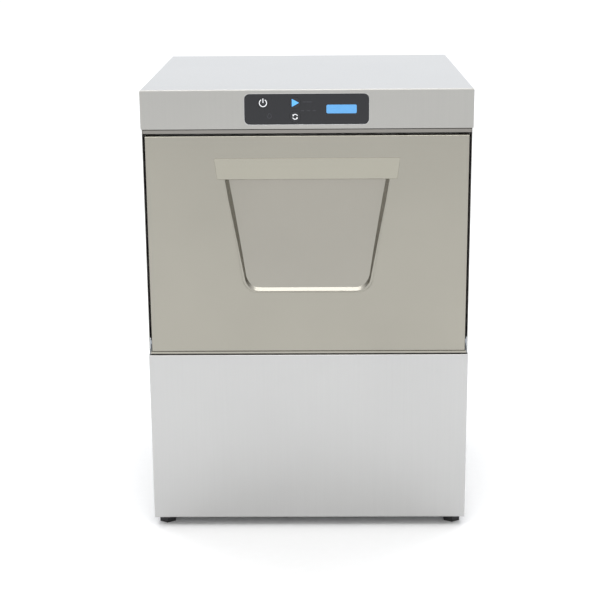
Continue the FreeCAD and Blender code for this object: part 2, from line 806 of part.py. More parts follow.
def capsule(y0, z0, y1, z1, radius, x0, x1):
    """A flat link with round ends, across the YZ plane."""
    side = V(0, -(z1 - z0), y1 - y0).normalize() * radius
    a = V(x0, y0, z0)
    b = V(x0, y1, z1)
    quad = Part.Face(Part.makePolygon([a + side, b + side, b - side, a - side, a + side]))
    middle = quad.extrude(V(x1 - x0, 0, 0))
    ends = [bar((x0, y, z), (1, 0, 0), radius, x1 - x0) for y, z in ((y0, z0), (y1, z1))]
    return fuse([middle] + ends)


def door_lever():
    """Right-hand lever: bolted to the stile, swinging behind the lower panel."""
    pin_y, pin_z = lever_pin_place(0)
    arm = capsule(HINGE_Y, HINGE_Z, pin_y, pin_z, LEVER_W / 2, LEVER_X0, LEVER_X1)
    y0 = FRONT + SHEET + STILE_T + 2
    up = screw_height()
    tail = prism("yz", rectangle(y0, y0 + 13, HINGE_Z, up + 12), [0, 0, 4, 4], LEVER_X0, LEVER_X1)
    tip = ROD_X - ROD_R - 1.4
    stud = bar((tip, pin_y, pin_z), (1, 0, 0), LEVER_PIN_R, LEVER_X1 - tip)
    clip = bar((tip, pin_y, pin_z), (1, 0, 0), LEVER_PIN_R + 1.8, 1.0)
    bore = bar((LEVER_X0 - 1, HINGE_Y, HINGE_Z), (1, 0, 0), PIN_R + RUNNING_FIT, LEVER_T + 2)
    screw = bar((LEVER_X0 - 1, HINGE_Y, up), (1, 0, 0), DOOR_SCREW_R, LEVER_T + 2)
    return fuse([arm, tail, stud, clip]).cut([bore, screw])


# ---------------------------------------------------------------------------
# Counterbalance
# ---------------------------------------------------------------------------

def rod_lean(open_deg):
    """Lean of the rod from vertical that leads it through its bracket."""
    pin_y, pin_z = lever_pin_place(open_deg)
    return math.atan2(HINGE_Y + ROD_AT_BRACKET - pin_y, pin_z - (HINGE_Z - BRACKET_DROP))


def rod_point(distance):
    """A point on the right rod's axis, below its eye."""
    pin_y, pin_z = lever_pin_place(0)
    lean = rod_lean(0)
    return (ROD_X, pin_y + distance * math.sin(lean), pin_z - distance * math.cos(lean))


def tie_rod():
    """Right rod with its eye, washer and adjusting nut."""
    lean = rod_lean(0)
    down = (0, math.sin(lean), -math.cos(lean))
    pin_y, pin_z = lever_pin_place(0)
    width = 2 * ROD_R - 0.4
    eye = bar((ROD_X - width / 2, pin_y, pin_z), (1, 0, 0), ROD_EYE_R, width)
    shank = bar(rod_point(0), down, ROD_R, ROD_LEN)
    washer = bar(rod_point(ROD_LEN - WASHER_UP), down, SPRING_OUTER_R + 1, 2.0)
    nut = hexagon(rod_point(ROD_LEN - WASHER_UP + 2), NUT_HEX_R, down, 6.0)
    bore = bar((ROD_X - 10, pin_y, pin_z), (1, 0, 0), LEVER_PIN_R + RUNNING_FIT, 20)
    return fuse([eye, shank, washer, nut]).cut(bore)


def counter_spring():
    """Envelope of the right compression spring, on its rod."""
    lean = rod_lean(0)
    down = (0, math.sin(lean), -math.cos(lean))
    pin_z = lever_pin_place(0)[1]
    start = (pin_z - BRACKET_FOOT) / math.cos(lean) + 1.2
    length = ROD_LEN - WASHER_UP - start
    return ring(rod_point(start), down, SPRING_OUTER_R, SPRING_INNER_R, length)


def spring_bracket():
    """Right bracket with the long slot that the rod slides and swings in."""
    y0 = FRONT + 8.0
    y1 = TUB_FRONT + 14.0
    shelf = box(TUB_HALF, SIDE_IN, y0, y1, BRACKET_FOOT, BRACKET_TOP)
    web = box(SIDE_IN - 2.5, SIDE_IN, y0, y1, BRACKET_FOOT, BRACKET_TOP + 34)
    middle = HINGE_Y + ROD_AT_BRACKET + SLOT_TRAVEL / 2
    reach = SLOT_TRAVEL / 2 + ROD_R + 1.6
    half = ROD_R + 0.8
    sides = rectangle(ROD_X - half, ROD_X + half, middle - reach, middle + reach)
    slot = prism("xy", sides, half - 0.05, BRACKET_FOOT - 1, BRACKET_TOP + 1)
    return fuse([shelf, web]).cut(slot)


# ---------------------------------------------------------------------------
# Wash chamber
# ---------------------------------------------------------------------------

def sump_wire(grow, level, share):
    """Outline of the sump at a share of its depth."""
    half_w = SUMP_W / 2 - SUMP_TAPER * share + grow
    half_d = SUMP_D / 2 - SUMP_TAPER * share + grow
    corners = rectangle(-half_w, half_w, TUB_Y - half_d, TUB_Y + half_d)
    return outline("xy", corners, SUMP_CORNER_R + grow, level)


def drain_place():
    """Centre of the sump's drain."""
    return service_ports()[0][0], TUB_Y + 98.0


def wash_tub():
    """Pressed chamber with its mouth, seal land, sump and filter well."""

    def shell(inset):
        half = TUB_HALF - inset
        body = box(-half, half, TUB_FRONT + inset, TUB_BACK - inset, TUB_Z0 + inset, TUB_Z1 - inset)
        rear = edges_where(body, lambda p: p.y > TUB_BACK - 2)
        return body.makeFillet(TUB_CORNER_R - inset, rear)

    outer = shell(0)
    inner = shell(SHEET)
    land = box(-LAND_HALF, LAND_HALF, TUB_FRONT, TUB_FRONT + SHEET, MOUTH_Z0 - LAND, TUB_Z1)
    mouth = prism("xz", rectangle(-MOUTH_HALF, MOUTH_HALF, MOUTH_Z0, MOUTH_Z1), MOUTH_CORNER_R,
                  TUB_FRONT - 1, TUB_FRONT + 3 * SHEET)
    sump_out = loft([sump_wire(SHEET, TUB_Z0 + SHEET, 0), sump_wire(SHEET, SUMP_Z - SHEET, 1)])
    sump_in = loft([sump_wire(0, TUB_Z0 + 2 * SHEET, 0), sump_wire(0, SUMP_Z, 1)])
    well_out = bar((WELL_X, PUMP_Y, WELL_Z - SHEET), (0, 0, 1), WELL_R + SHEET, WELL_DROP)
    well_in = bar((WELL_X, PUMP_Y, WELL_Z), (0, 0, 1), WELL_R, WELL_DROP + 2)
    holes = [
        bar((0, TUB_Y, SUMP_Z - 5), (0, 0, 1), 17.0, 10),
        bar((0, TUB_Y, TUB_Z1 - 5), (0, 0, 1), 14.0, 10),
        bar((*drain_place(), SUMP_Z - 5), (0, 0, 1), DRAIN_R - DRAIN_WALL + 1, 10),
        bar((WELL_X, PUMP_Y, WELL_Z - 5), (0, 0, 1), 20.0, 10),
    ]
    for x in HEATER_X:
        level = SUMP_Z + HEATER_UP
        holes.append(bar((x, TUB_FRONT, level), (0, 1, 0), HEATER_R + 0.2, SUMP_D / 2))
    solid = fuse([outer, land, sump_out, well_out])
    return solid.cut([inner, mouth, sump_in, well_in] + holes)


def door_gasket():
    """Seal bead round the mouth, seated on the land."""
    y0 = DOOR_BACK + GASKET_GAP
    width = LAND - 2.0
    half = MOUTH_HALF + width
    outer = prism("xz", rectangle(-half, half, MOUTH_Z0 - width, MOUTH_Z1 + width),
                  MOUTH_CORNER_R + width, y0, TUB_FRONT)
    inner = prism("xz", rectangle(-MOUTH_HALF, MOUTH_HALF, MOUTH_Z0, MOUTH_Z1), MOUTH_CORNER_R,
                  y0 - 1, TUB_FRONT + 1)
    bead = outer.cut(inner)
    rounded = edges_where(bead, lambda p: abs(p.y - y0) < 1e-6)
    return bead.makeFillet(3.5, rounded)


def rack_rail():
    """Right-hand rack runner: a folded angle with a dropped front end."""
    wall = TUB_HALF - SHEET
    y0 = TUB_FRONT + 8.0
    y1 = TUB_BACK - TUB_CORNER_R - 4
    ledge = box(wall - RAIL_LEDGE, wall, y0, y1, RAIL_Z - RAIL_T, RAIL_Z)
    web = box(wall - RAIL_T, wall, y0, y1, RAIL_Z - 12, RAIL_Z)
    guide = box(wall - RAIL_T, wall, y0, y1, RAIL_Z, RAIL_Z + 22)
    lip = box(wall - RAIL_LEDGE, wall - RAIL_LEDGE + RAIL_T, y0, y1, RAIL_Z - 8, RAIL_Z)
    return fuse([ledge, web, guide, lip])


def dish_rack():
    """Moulded rack: open lattice base and windowed walls."""
    half = RACK / 2
    z0 = RACK_Z
    wall = RACK_WALL
    corner = 14.0
    outer = prism("xy", rectangle(-half, half, RACK_Y0, RACK_Y1), corner, z0, z0 + RACK_H)
    inner = prism("xy", rectangle(-half + wall, half - wall, RACK_Y0 + wall, RACK_Y1 - wall),
                  corner - wall, z0 + wall, z0 + RACK_H + 1)
    rack = outer.cut(inner)
    border = 20.0
    pitch = (RACK - 2 * border) / RACK_CELLS
    cuts = []
    for i in range(RACK_CELLS):
        for j in range(RACK_CELLS):
            left = -half + border + i * pitch + RACK_RIB / 2
            near = RACK_Y0 + border + j * pitch + RACK_RIB / 2
            side = pitch - RACK_RIB
            cuts.append(box(left, left + side, near, near + side, z0 - 1, z0 + wall + 1))
    step = (RACK - 2 * border) / RACK_WINDOWS
    for i in range(RACK_WINDOWS):
        low = -half + border + i * step + 6
        high = low + step - 12
        for z in (z0 + 16, z0 + 54):
            cuts.append(box(low, high, RACK_Y0 - 1, RACK_Y1 + 1, z, z + 30))
            shift = RACK_Y0 + half
            cuts.append(box(-half - 1, half + 1, low + shift, high + shift, z, z + 30))
    return rack.cut(Part.makeCompound(cuts))


def arm_levels():
    """Heights of the four spray arms' hubs, from their low side."""
    lower_wash = TUB_Z0 + SHEET + 9.0
    lower_rinse = lower_wash + HUB_T + ARM_STEP
    upper_wash = TUB_Z1 - SHEET - 6.0 - HUB_T
    upper_rinse = upper_wash - ARM_STEP - RINSE_HUB_T
    return lower_wash, lower_rinse, upper_wash, upper_rinse


def half_arm(width_in, width_out, thick, z0):
    """One blade of a spray arm, folded with bevelled edges and tapered towards its tip."""
    middle = z0 + thick / 2

    def section(x, width, height):
        bevel = 0.34 * height
        w, h = width / 2, height / 2
        sides = [(-w, bevel - h), (bevel - w, -h), (w - bevel, -h), (w, bevel - h)]
        sides += [(w, h - bevel), (w - bevel, h), (bevel - w, h), (-w, h - bevel)]
        return outline("yz", [(TUB_Y + u, middle + v) for u, v in sides], 0, x)

    return loft([section(8.0, width_in, thick), section(ARM_REACH - 14, width_out, 0.85 * thick),
                 section(ARM_REACH, 0.62 * width_out, 0.5 * thick)])


def spray_arm(z0, hub_r, hub_t, width_in, width_out, thick, jet, facing):
    """A two-bladed spray arm with its jets, on a bored hub."""
    blade_z = z0 + (hub_t - thick) / 2
    blade = half_arm(width_in, width_out, thick, blade_z)
    hub = bar((0, TUB_Y, z0), (0, 0, 1), hub_r, hub_t)
    arm = fuse([hub, blade, mirror_x(blade)])
    cuts = [bar((0, TUB_Y, z0 - 1), (0, 0, 1), JOURNAL_R + RUNNING_FIT, hub_t + 2)]
    low = blade_z + thick * 0.55 if facing > 0 else blade_z - 1
    high = blade_z + thick + 1 if facing > 0 else blade_z + thick * 0.45
    first = hub_r + 18.0
    step = (ARM_REACH - 24 - first) / (JETS - 0.75)
    for side, shift in ((-1, 0), (1, step / 4)):
        for i in range(JETS):
            x = side * (first + i * step + shift)
            cuts.append(box(x - jet, x + jet, TUB_Y - JET_W / 2, TUB_Y + JET_W / 2, low, high))
    return arm.cut(cuts)


def lower_spindle():
    """Riser through the sump with the journal of the two lower arms."""
    wash, rinse, _, _ = arm_levels()
    top = rinse + RINSE_HUB_T
    riser = bar((0, TUB_Y, SUMP_Z - 26), (0, 0, 1), 17.0, wash - 4 - SUMP_Z + 26)
    flange = bar((0, TUB_Y, wash - 5), (0, 0, 1), SPINDLE_FLANGE_R, 4.4)
    journal = bar((0, TUB_Y, wash - 5), (0, 0, 1), JOURNAL_R, top - wash + 5 + 4)
    knob = Part.makeCone(16.0, 12.0, 4.5, V(0, TUB_Y, top + 0.6))
    collar = bar((0, TUB_Y, rinse - ARM_STEP + 0.3), (0, 0, 1), JOURNAL_R, ARM_STEP - 0.6)
    return fuse([riser, flange, journal, knob, collar])


def upper_spindle():
    """Hanger from the ceiling with the journal of the two upper arms."""
    _, _, wash, rinse = arm_levels()
    ceiling = TUB_Z1 - SHEET
    stem = bar((0, TUB_Y, ceiling - 4), (0, 0, 1), 14.0, 4 + SHEET + 6)
    under = wash + HUB_T + 0.6
    flange = bar((0, TUB_Y, under), (0, 0, 1), SPINDLE_FLANGE_R, ceiling - under)
    journal = bar((0, TUB_Y, rinse - 4), (0, 0, 1), JOURNAL_R, ceiling - rinse + 4)
    knob = Part.makeCone(12.0, 16.0, 4.5, V(0, TUB_Y, rinse - 5.1))
    return fuse([stem, flange, journal, knob])


def flat_filters():
    """Both halves of the slotted strainer, the left one round the filter well."""
    right = flat_filter()
    seat = bar((WELL_X, PUMP_Y, TUB_Z0), (0, 0, 1), WELL_R - BASKET_GAP + 0.5, 20)
    left = mirror_x(right).cut(seat)
    return Part.makeCompound([left, right])


def flat_filter():
    """Right-hand half of the slotted strainer over the sump."""
    z0 = TUB_Z0 + SHEET
    half_w = SUMP_W / 2 + 12
    half_d = SUMP_D / 2 + 12
    sides = rectangle(0.5, half_w, TUB_Y - half_d, TUB_Y + half_d)
    plate = prism("xy", sides, [2, 20, 20, 2], z0, z0 + FILTER_T)
    lift = prism("xy", rectangle(half_w - 30, half_w - 14, TUB_Y - 30, TUB_Y + 30), 3, z0, z0 + 4)
    plate = fuse([plate, lift])
    cuts = [bar((0, TUB_Y, z0 - 1), (0, 0, 1), 17.4, 10)]
    for i in range(6):
        for j in range(-3, 4):
            x = 40 + i * 26
            y = TUB_Y + j * 54
            if j == 0 and i > 3:
                continue
            cuts.append(box(x, x + 12, y - 21, y + 21, z0 - 1, z0 + 3))
    return plate.cut(cuts)


def cylinder_filter():
    """Basket strainer that stands in the filter well."""
    top = TUB_Z0 + SHEET + 6.0
    radius = WELL_R - BASKET_GAP
    cup = ring((WELL_X, PUMP_Y, WELL_Z + 4), (0, 0, 1), radius, radius - BASKET_T, top - WELL_Z - 4)
    floor = ring((WELL_X, PUMP_Y, WELL_Z + 4), (0, 0, 1), radius, 12.0, BASKET_T)
    rim = ring((WELL_X, PUMP_Y, top - 4), (0, 0, 1), radius + 5, radius - BASKET_T, 3)
    span = radius - BASKET_T / 2
    handle = box(WELL_X - span, WELL_X + span, PUMP_Y - 4, PUMP_Y + 4, top - 5, top - 1)
    basket = fuse([cup, floor, rim, handle])
    cuts = []
    for i in range(4):
        turn = FreeCAD.Rotation(V(0, 0, 1), 22.5 + 45 * i)
        for z in (WELL_Z + 20, WELL_Z + 66):
            slot = box(-radius - 2, radius + 2, -9, 9, 0, 36)
            slot.Placement = FreeCAD.Placement(V(WELL_X, PUMP_Y, z), turn)
            cuts.append(slot)
    return basket.cut(cuts)


def overflow_standpipe():
    """Pull-out overflow pipe standing in the drain."""
    x, y = drain_place()
    top = TUB_Z0 - 8.0
    pipe = ring((x, y, SUMP_Z + 0.2), (0, 0, 1), STANDPIPE_R, STANDPIPE_R - 2.5, top - SUMP_Z)
    seal = ring((x, y, SUMP_Z), (0, 0, 1), STANDPIPE_R + 5, STANDPIPE_R - 2.5, 5)
    slot = box(x - 20, x + 20, y - 5, y + 5, top - 14, top - 4)
    return fuse([pipe, seal]).cut(slot)


def tank_heater():
    """Bent heating rod in the sump with its terminal flange."""
    z = SUMP_Z + HEATER_UP
    front = TUB_Y - SUMP_D / 2 + SUMP_TAPER
    y0 = front - 12
    x0, x1 = HEATER_X
    far = TUB_Y + 60.0
    rod = bent_tube([(x0, y0, z), (x0, far, z), (x1, far, z), (x1, y0, z)], HEATER_BEND, HEATER_R, 0)
    flange = prism("xz", rectangle(x0 - 14, x1 + 14, z - 10, z + 10), 6, y0, y0 + 4)
    return fuse([rod, flange])


# ---------------------------------------------------------------------------
# Bay under the chamber
# ---------------------------------------------------------------------------

MOTOR_X0 = VOLUTE_X0 + VOLUTE_W + 4
MOTOR_X1 = MOTOR_X0 + MOTOR_L


def pump_volute():
    """Volute casing with an axial inlet and a rising outlet."""
    x0 = VOLUTE_X0
    casing = bar((x0, PUMP_Y, PUMP_Z), (1, 0, 0), VOLUTE_R, VOLUTE_W)
    snout = bar((x0 - 24, PUMP_Y, PUMP_Z), (1, 0, 0), 22.0, 26)
    outlet_y = PUMP_Y - VOLUTE_R + 18
    throat = bar((x0 + VOLUTE_W / 2, outlet_y, PUMP_Z), (0, 0, 1), 18.0, VOLUTE_R + 10)
    mount = box(x0 + VOLUTE_W - 4, x0 + VOLUTE_W + 4, PUMP_Y - 50, PUMP_Y + 50, PUMP_Z - 50, PUMP_Z + 50)
    solid = fuse([casing, snout, throat, mount])
    cavity = bar((x0 + VOLUTE_WALL, PUMP_Y, PUMP_Z), (1, 0, 0), IMPELLER_R + 8, VOLUTE_W - 2 * VOLUTE_WALL)
    inlet = bar((x0 - 30, PUMP_Y, PUMP_Z), (1, 0, 0), 18.0, 40)
    riser = bar((x0 + VOLUTE_W / 2, outlet_y, PUMP_Z), (0, 0, 1), 14.0, VOLUTE_R + 20)
    shaft = bar((x0, PUMP_Y, PUMP_Z), (1, 0, 0), SHAFT_R + RUNNING_FIT, VOLUTE_W + 10)
    return solid.cut([cavity, inlet, riser, shaft])


def pump_motor():
    """Finned motor with a slotted fan cowl and a terminal box."""
    frame = bar((MOTOR_X0, PUMP_Y, PUMP_Z), (1, 0, 0), MOTOR_R - 5, MOTOR_L)
    fins = []
    for i in range(16):
        fin = box(MOTOR_X0 + 10, MOTOR_X1 - 4, -1.2, 1.2, MOTOR_R - 8, MOTOR_R)
        fin.Placement = FreeCAD.Placement(V(0, PUMP_Y, PUMP_Z), FreeCAD.Rotation(V(1, 0, 0), 22.5 * i))
        fins.append(fin)
    cowl = bar((MOTOR_X1 - 6, PUMP_Y, PUMP_Z), (1, 0, 0), MOTOR_R, COWL_L)
    crown = PUMP_Z + MOTOR_R
    terminal = box(MOTOR_X0 + 40, MOTOR_X0 + 100, PUMP_Y - 28, PUMP_Y + 28, crown - 10, crown + 22)
    feet = box(MOTOR_X0 + 25, MOTOR_X1 - 25, PUMP_Y - 45, PUMP_Y + 45, TRAY_Z + TRAY_T,
               PUMP_Z - MOTOR_R + 12)
    solid = fuse([frame] + fins + [cowl, terminal, feet])
    chamber = bar((MOTOR_X1, PUMP_Y, PUMP_Z), (1, 0, 0), MOTOR_R - 3, COWL_L - 9)
    shaft = bar((MOTOR_X0 - 1, PUMP_Y, PUMP_Z), (1, 0, 0), SHAFT_R + RUNNING_FIT, MOTOR_L + 2)
    slots = []
    for i in range(3):
        turn = FreeCAD.Rotation(V(1, 0, 0), 60 * i)
        slot = box(MOTOR_X1 + COWL_L - 12, MOTOR_X1 + COWL_L, -44, 44, -4, 4)
        slot.Placement = FreeCAD.Placement(V(0, PUMP_Y, PUMP_Z), turn)
        slots.append(slot)
    return solid.cut([chamber, shaft] + slots)


def pump_rotor():
    """Shaft with the impeller at one end and the cooling fan at the other."""
    x_in = VOLUTE_X0 + VOLUTE_WALL + 3
    shaft = bar((x_in, PUMP_Y, PUMP_Z), (1, 0, 0), SHAFT_R, MOTOR_X1 + 20 - x_in)
    back = bar((x_in + 26, PUMP_Y, PUMP_Z), (1, 0, 0), IMPELLER_R, 4)
    eye = bar((x_in, PUMP_Y, PUMP_Z), (1, 0, 0), 12.0, 30)
    pieces = [shaft, back, eye]
    for i in range(6):
        vane = box(x_in + 8, x_in + 27, 8, IMPELLER_R - 1, -1.5, 1.5)
        vane.Placement = FreeCAD.Placement(V(0, PUMP_Y, PUMP_Z), FreeCAD.Rotation(V(1, 0, 0), 60 * i))
        pieces.append(vane)
    hub = bar((MOTOR_X1 + 4, PUMP_Y, PUMP_Z), (1, 0, 0), 14.0, 14)
    pieces.append(hub)
    for i in range(8):
        blade = box(MOTOR_X1 + 4, MOTOR_X1 + 18, 10, MOTOR_R - 10, -1, 1)
        blade.Placement = FreeCAD.Placement(V(0, PUMP_Y, PUMP_Z), FreeCAD.Rotation(V(1, 0, 0), 45 * i))
        pieces.append(blade)
    return fuse(pieces)


def suction_hose():
    """Elbow from the filter well down into the pump's inlet."""
    return bent_tube([(WELL_X, PUMP_Y, WELL_Z - SHEET), (WELL_X, PUMP_Y, PUMP_Z),
                      (VOLUTE_X0 - 24, PUMP_Y, PUMP_Z)], 28.0, 25.0, 21.0)


def delivery_hose():
    """Hose from the pump's outlet to the chamber's riser."""
    x = VOLUTE_X0 + VOLUTE_W / 2
    y = PUMP_Y - VOLUTE_R + 18
    return bent_tube([(x, y, PUMP_Z + VOLUTE_R + 10), (x, y, PUMP_Z + VOLUTE_R + 36)], 0, 18.0, 14.0)


def wash_riser():
    """Pipe up the left of the chamber and over its ceiling to the upper arm."""
    x = -(TUB_HALF + SIDE_IN) / 2
    top = TUB_Z1 + 32.0
    foot = SUMP_Z - 16
    return bent_tube([(x + 60, TUB_Y, foot), (x, TUB_Y, foot), (x, TUB_Y, top), (-24.0, TUB_Y, top)],
                     16.0, WASH_PIPE_R, WASH_PIPE_R - 1)


def rinse_riser():
    """Thinner pipe up the right of the chamber to the upper rinse arm."""
    x = (TUB_HALF + SIDE_IN) / 2
    top = TUB_Z1 + 32.0
    foot = SUMP_Z - 16
    return bent_tube([(x - 60, TUB_Y, foot), (x, TUB_Y, foot), (x, TUB_Y, top), (24.0, TUB_Y, top)],
                     14.0, RINSE_PIPE_R, RINSE_PIPE_R - 1)


def ceiling_manifold():
    """Block over the ceiling where both risers meet the upper spindle."""
    drum = bar((0, TUB_Y, TUB_Z1 + 6), (0, 0, 1), 24.0, 42.0)
    plate = prism("xy", rectangle(-34, 34, TUB_Y - 34, TUB_Y + 34), 8, TUB_Z1, TUB_Z1 + 6)
    socket = bar((0, TUB_Y, TUB_Z1 - 1), (0, 0, 1), 14.0, 7)
    return fuse([drum, plate]).cut(socket)


def rinse_boiler():
    """Horizontal rinse-water heater with dished ends and straps."""
    x1 = BOILER_X0 + BOILER_L
    pieces = [bar((BOILER_X0, BOILER_Y, BOILER_Z), (1, 0, 0), BOILER_R, BOILER_L)]
    knuckle = BOILER_DOME / 2
    for x, way in ((BOILER_X0, -1), (x1, 1)):
        shoulder = V(x, BOILER_Y, BOILER_Z)
        crown = V(x + way * knuckle, BOILER_Y, BOILER_Z)
        pieces.append(Part.makeCone(BOILER_R, 0.88 * BOILER_R, knuckle, shoulder, V(way, 0, 0)))
        pieces.append(Part.makeCone(0.88 * BOILER_R, 0.5 * BOILER_R, knuckle, crown, V(way, 0, 0)))
    for x in (BOILER_X0 + 40, x1 - 60):
        low = BOILER_Z - BOILER_R + 18
        pieces.append(box(x, x + 20, BOILER_Y - 40, BOILER_Y + 40, TRAY_Z + TRAY_T, low))
        pieces.append(ring((x, BOILER_Y, BOILER_Z), (1, 0, 0), BOILER_R + 1.5, BOILER_R - 2, 20))
    return fuse(pieces)


def boiler_heater():
    """Screwed heater head on the boiler's left end."""
    x = BOILER_X0 - BOILER_DOME
    flange = bar((x - 8, BOILER_Y, BOILER_Z), (1, 0, 0), 24.0, 8.0)
    head = hexagon((x - 8, BOILER_Y, BOILER_Z), 19.0, (-1, 0, 0), 9.0)
    posts = []
    for i in range(3):
        angle = math.radians(90 + 120 * i)
        y = BOILER_Y + 9 * math.cos(angle)
        z = BOILER_Z + 9 * math.sin(angle)
        posts.append(bar((x - 29, y, z), (1, 0, 0), 2.5, 14))
    return fuse([flange, head] + posts)


def drain_pipe():
    """Drain from the sump, down and out through the rear panel, with a hose tail."""
    x, y = drain_place()
    _, z, radius = service_ports()[0]
    bore = DRAIN_R - DRAIN_WALL
    tail = BACK_Y + PORT_STEP
    pipe = bent_tube([(x, y, SUMP_Z - SHEET), (x, y, z), (x, tail, z)], 26.0, radius, bore)
    return fuse([pipe, ring((x, tail, z), (0, 1, 0), DRAIN_R, bore, REAR - 2 - tail)])


def water_inlet_valve():
    """Threaded water inlet, strainer body and solenoid coil."""
    x, z, radius = service_ports()[1]
    root = BACK_Y - 30
    thread = BACK_Y + PORT_STEP
    bore = INLET_R - 3.7
    neck = ring((x, root, z), (0, 1, 0), radius, bore, thread - root)
    spout = ring((x, thread, z), (0, 1, 0), INLET_R, bore, REAR - 4 - thread)
    body = box(x - 22, x + 22, root - 44, root, z - 20, z + 20)
    collar = ring((x, BACK_Y - 8, z), (0, 1, 0), radius + 4, radius - 1, 6)
    coil = bar((x, BACK_Y - 52, z + 20), (0, 0, 1), 17.0, 38)
    cap = bar((x, BACK_Y - 52, z + 58), (0, 0, 1), 9.0, 6)
    return fuse([neck, spout, body, collar, coil, cap])


def electrical_box():
    """Terminal and contactor box behind the lower front panel."""
    x0 = BOX_X0
    x1 = x0 + BOX_W
    y0 = FRONT + 44.0
    z0 = TRAY_Z + TRAY_EDGE
    z1 = z0 + BOX_H
    case = box(x0, x1, y0, y0 + BOX_D, z0, z1)
    lid = box(x0 - 3, x1 + 3, y0 - 3, y0, z0 - 3, z1 + 3)
    rail = box(x0 + 12, x1 - 12, y0 - 4, y0 - 3, z0 + 20, z1 - 20)
    case = case.makeFillet(4, edges_where(case, lambda p: p.y > y0 + BOX_D - 1))
    return fuse([case, lid, rail])


def dosing_pumps():
    """Detergent and rinse-aid pumps: round heads on square gear motors."""
    y0 = FRONT + 40.0
    z = TRAY_Z + 96.0
    pumps = []
    half = DOSING_GEAR / 2
    for x in DOSING_X:
        head = bar((x, y0, z), (0, 1, 0), DOSING_R, 18)
        nose = Part.makeCone(12.0, DOSING_R, 6, V(x, y0 - 6, z), V(0, 1, 0))
        gear = box(x - half, x + half, y0 + 18, y0 + 60, z - half, z + half)
        ports = [bar((x + dx, y0 + 9, z - 38), (0, 0, 1), 4.0, 14) for dx in (-12, 12)]
        pumps.append(fuse([head, nose, gear] + ports))
    return Part.makeCompound(pumps)


def cable_gland():
    """Cable gland in the rear panel, with its locknut and dome."""
    x, z, radius = service_ports()[2]
    body = ring((x, BACK_Y - 12, z), (0, 1, 0), radius, CORD_BORE_R, 20)
    flange = ring((x, BACK_Y, z), (0, 1, 0), radius + 3.5, CORD_BORE_R, 6)
    dome = Part.makeCone(radius + 1.5, 8.0, 12, V(x, BACK_Y + 6, z), V(0, 1, 0))
    through = bar((x, BACK_Y - 15, z), (0, 1, 0), CORD_BORE_R, 50)
    nut = ring((x, BACK_Y - SHEET - 5, z), (0, 1, 0), radius + 3.5, radius - 1, 5)
    return fuse([body, flange, dome, nut]).cut(through)


# ---------------------------------------------------------------------------
# Assembly
# ---------------------------------------------------------------------------

def build():
    """Make every piece under its node name."""
    add("top_cover", top_cover())
    add("right_side_panel", side_panel())
    add("left_side_panel", mirror_x(side_panel()))
    add("lower_front_panel", lower_front_panel())
    add("back_panel", back_panel())
    add("base_tray", base_tray())
    add("upper_front_rail", upper_front_rail())
    add("lower_front_rail", lower_front_rail())
    add("door_jambs", door_jambs())
    add("hinge_brackets", pair(hinge_bracket()))

    add("control_overlay", control_overlay())
    add("status_lens", status_lens())
    add("control_housing", control_housing())
    add("control_board", control_board())
    for name, place in key_places().items():
        add(name, soft_key(*place))

    add("door_outer_skin", door_outer_skin())
    add("door_inner_panel", door_inner_panel())
    add("finger_pocket", finger_pocket())
    add("grip_strip", grip_strip())
    add("door_stiles", pair(door_side_frame()))
    add("door_screws", pair(door_screw()))
    add("door_levers", pair(door_lever()))
    add("tie_rods", pair(tie_rod()))
    add("counter_springs", pair(counter_spring()))
    add("spring_brackets", pair(spring_bracket()))

    add("wash_tub", wash_tub())
    add("door_gasket", door_gasket())
    add("rack_rails", pair(rack_rail()))
    add("dish_rack", dish_rack())
    lower_wash, lower_rinse, upper_wash, upper_rinse = arm_levels()
    wash_form = (WASH_HUB_R, HUB_T, WASH_ARM_ROOT, WASH_ARM_TIP, WASH_ARM_T, WASH_JET)
    rinse_form = (RINSE_HUB_R, RINSE_HUB_T, RINSE_ARM_W, 0.75 * RINSE_ARM_W, RINSE_ARM_T, RINSE_JET)
    add("lower_wash_arm", spray_arm(lower_wash, *wash_form, 1))
    add("lower_rinse_arm", spray_arm(lower_rinse, *rinse_form, 1))
    add("upper_wash_arm", spray_arm(upper_wash, *wash_form, -1))
    add("upper_rinse_arm", spray_arm(upper_rinse, *rinse_form, -1))
    add("lower_spindle", lower_spindle())
    add("upper_spindle", upper_spindle())
    add("ceiling_manifold", ceiling_manifold())
    add("flat_filters", flat_filters())
    add("cylinder_filter", cylinder_filter())
    add("overflow_standpipe", overflow_standpipe())
    add("tank_heater", tank_heater())

    add("pump_volute", pump_volute())
    add("pump_motor", pump_motor())
    add("pump_rotor", pump_rotor())
    add("suction_hose", suction_hose())
    add("delivery_hose", delivery_hose())
    add("wash_riser", wash_riser())
    add("rinse_riser", rinse_riser())
    add("rinse_boiler", rinse_boiler())
    add("boiler_heater", boiler_heater())
    add("drain_pipe", drain_pipe())
    add("water_inlet_valve", water_inlet_valve())
    add("electrical_box", electrical_box())
    add("dosing_pumps", dosing_pumps())
    add("cable_gland", cable_gland())
    corners = ("front_left", "front_right", "rear_left", "rear_right")
    for corner, place in zip(corners, foot_places()):
        add("foot_" + corner, levelling_foot(*place))


build()
os.makedirs("parts", exist_ok=True)
for node, solid in PARTS.items():
    solid.exportStep("parts/" + node + ".step")
print(len(PARTS), "nodes written")
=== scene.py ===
"""Looks of an undercounter commercial dishwasher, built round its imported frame."""

import json
import logging
import math
from dataclasses import dataclass, field
from enum import Enum
from typing import Any

import bmesh
import bpy
from mathutils import Matrix, Vector


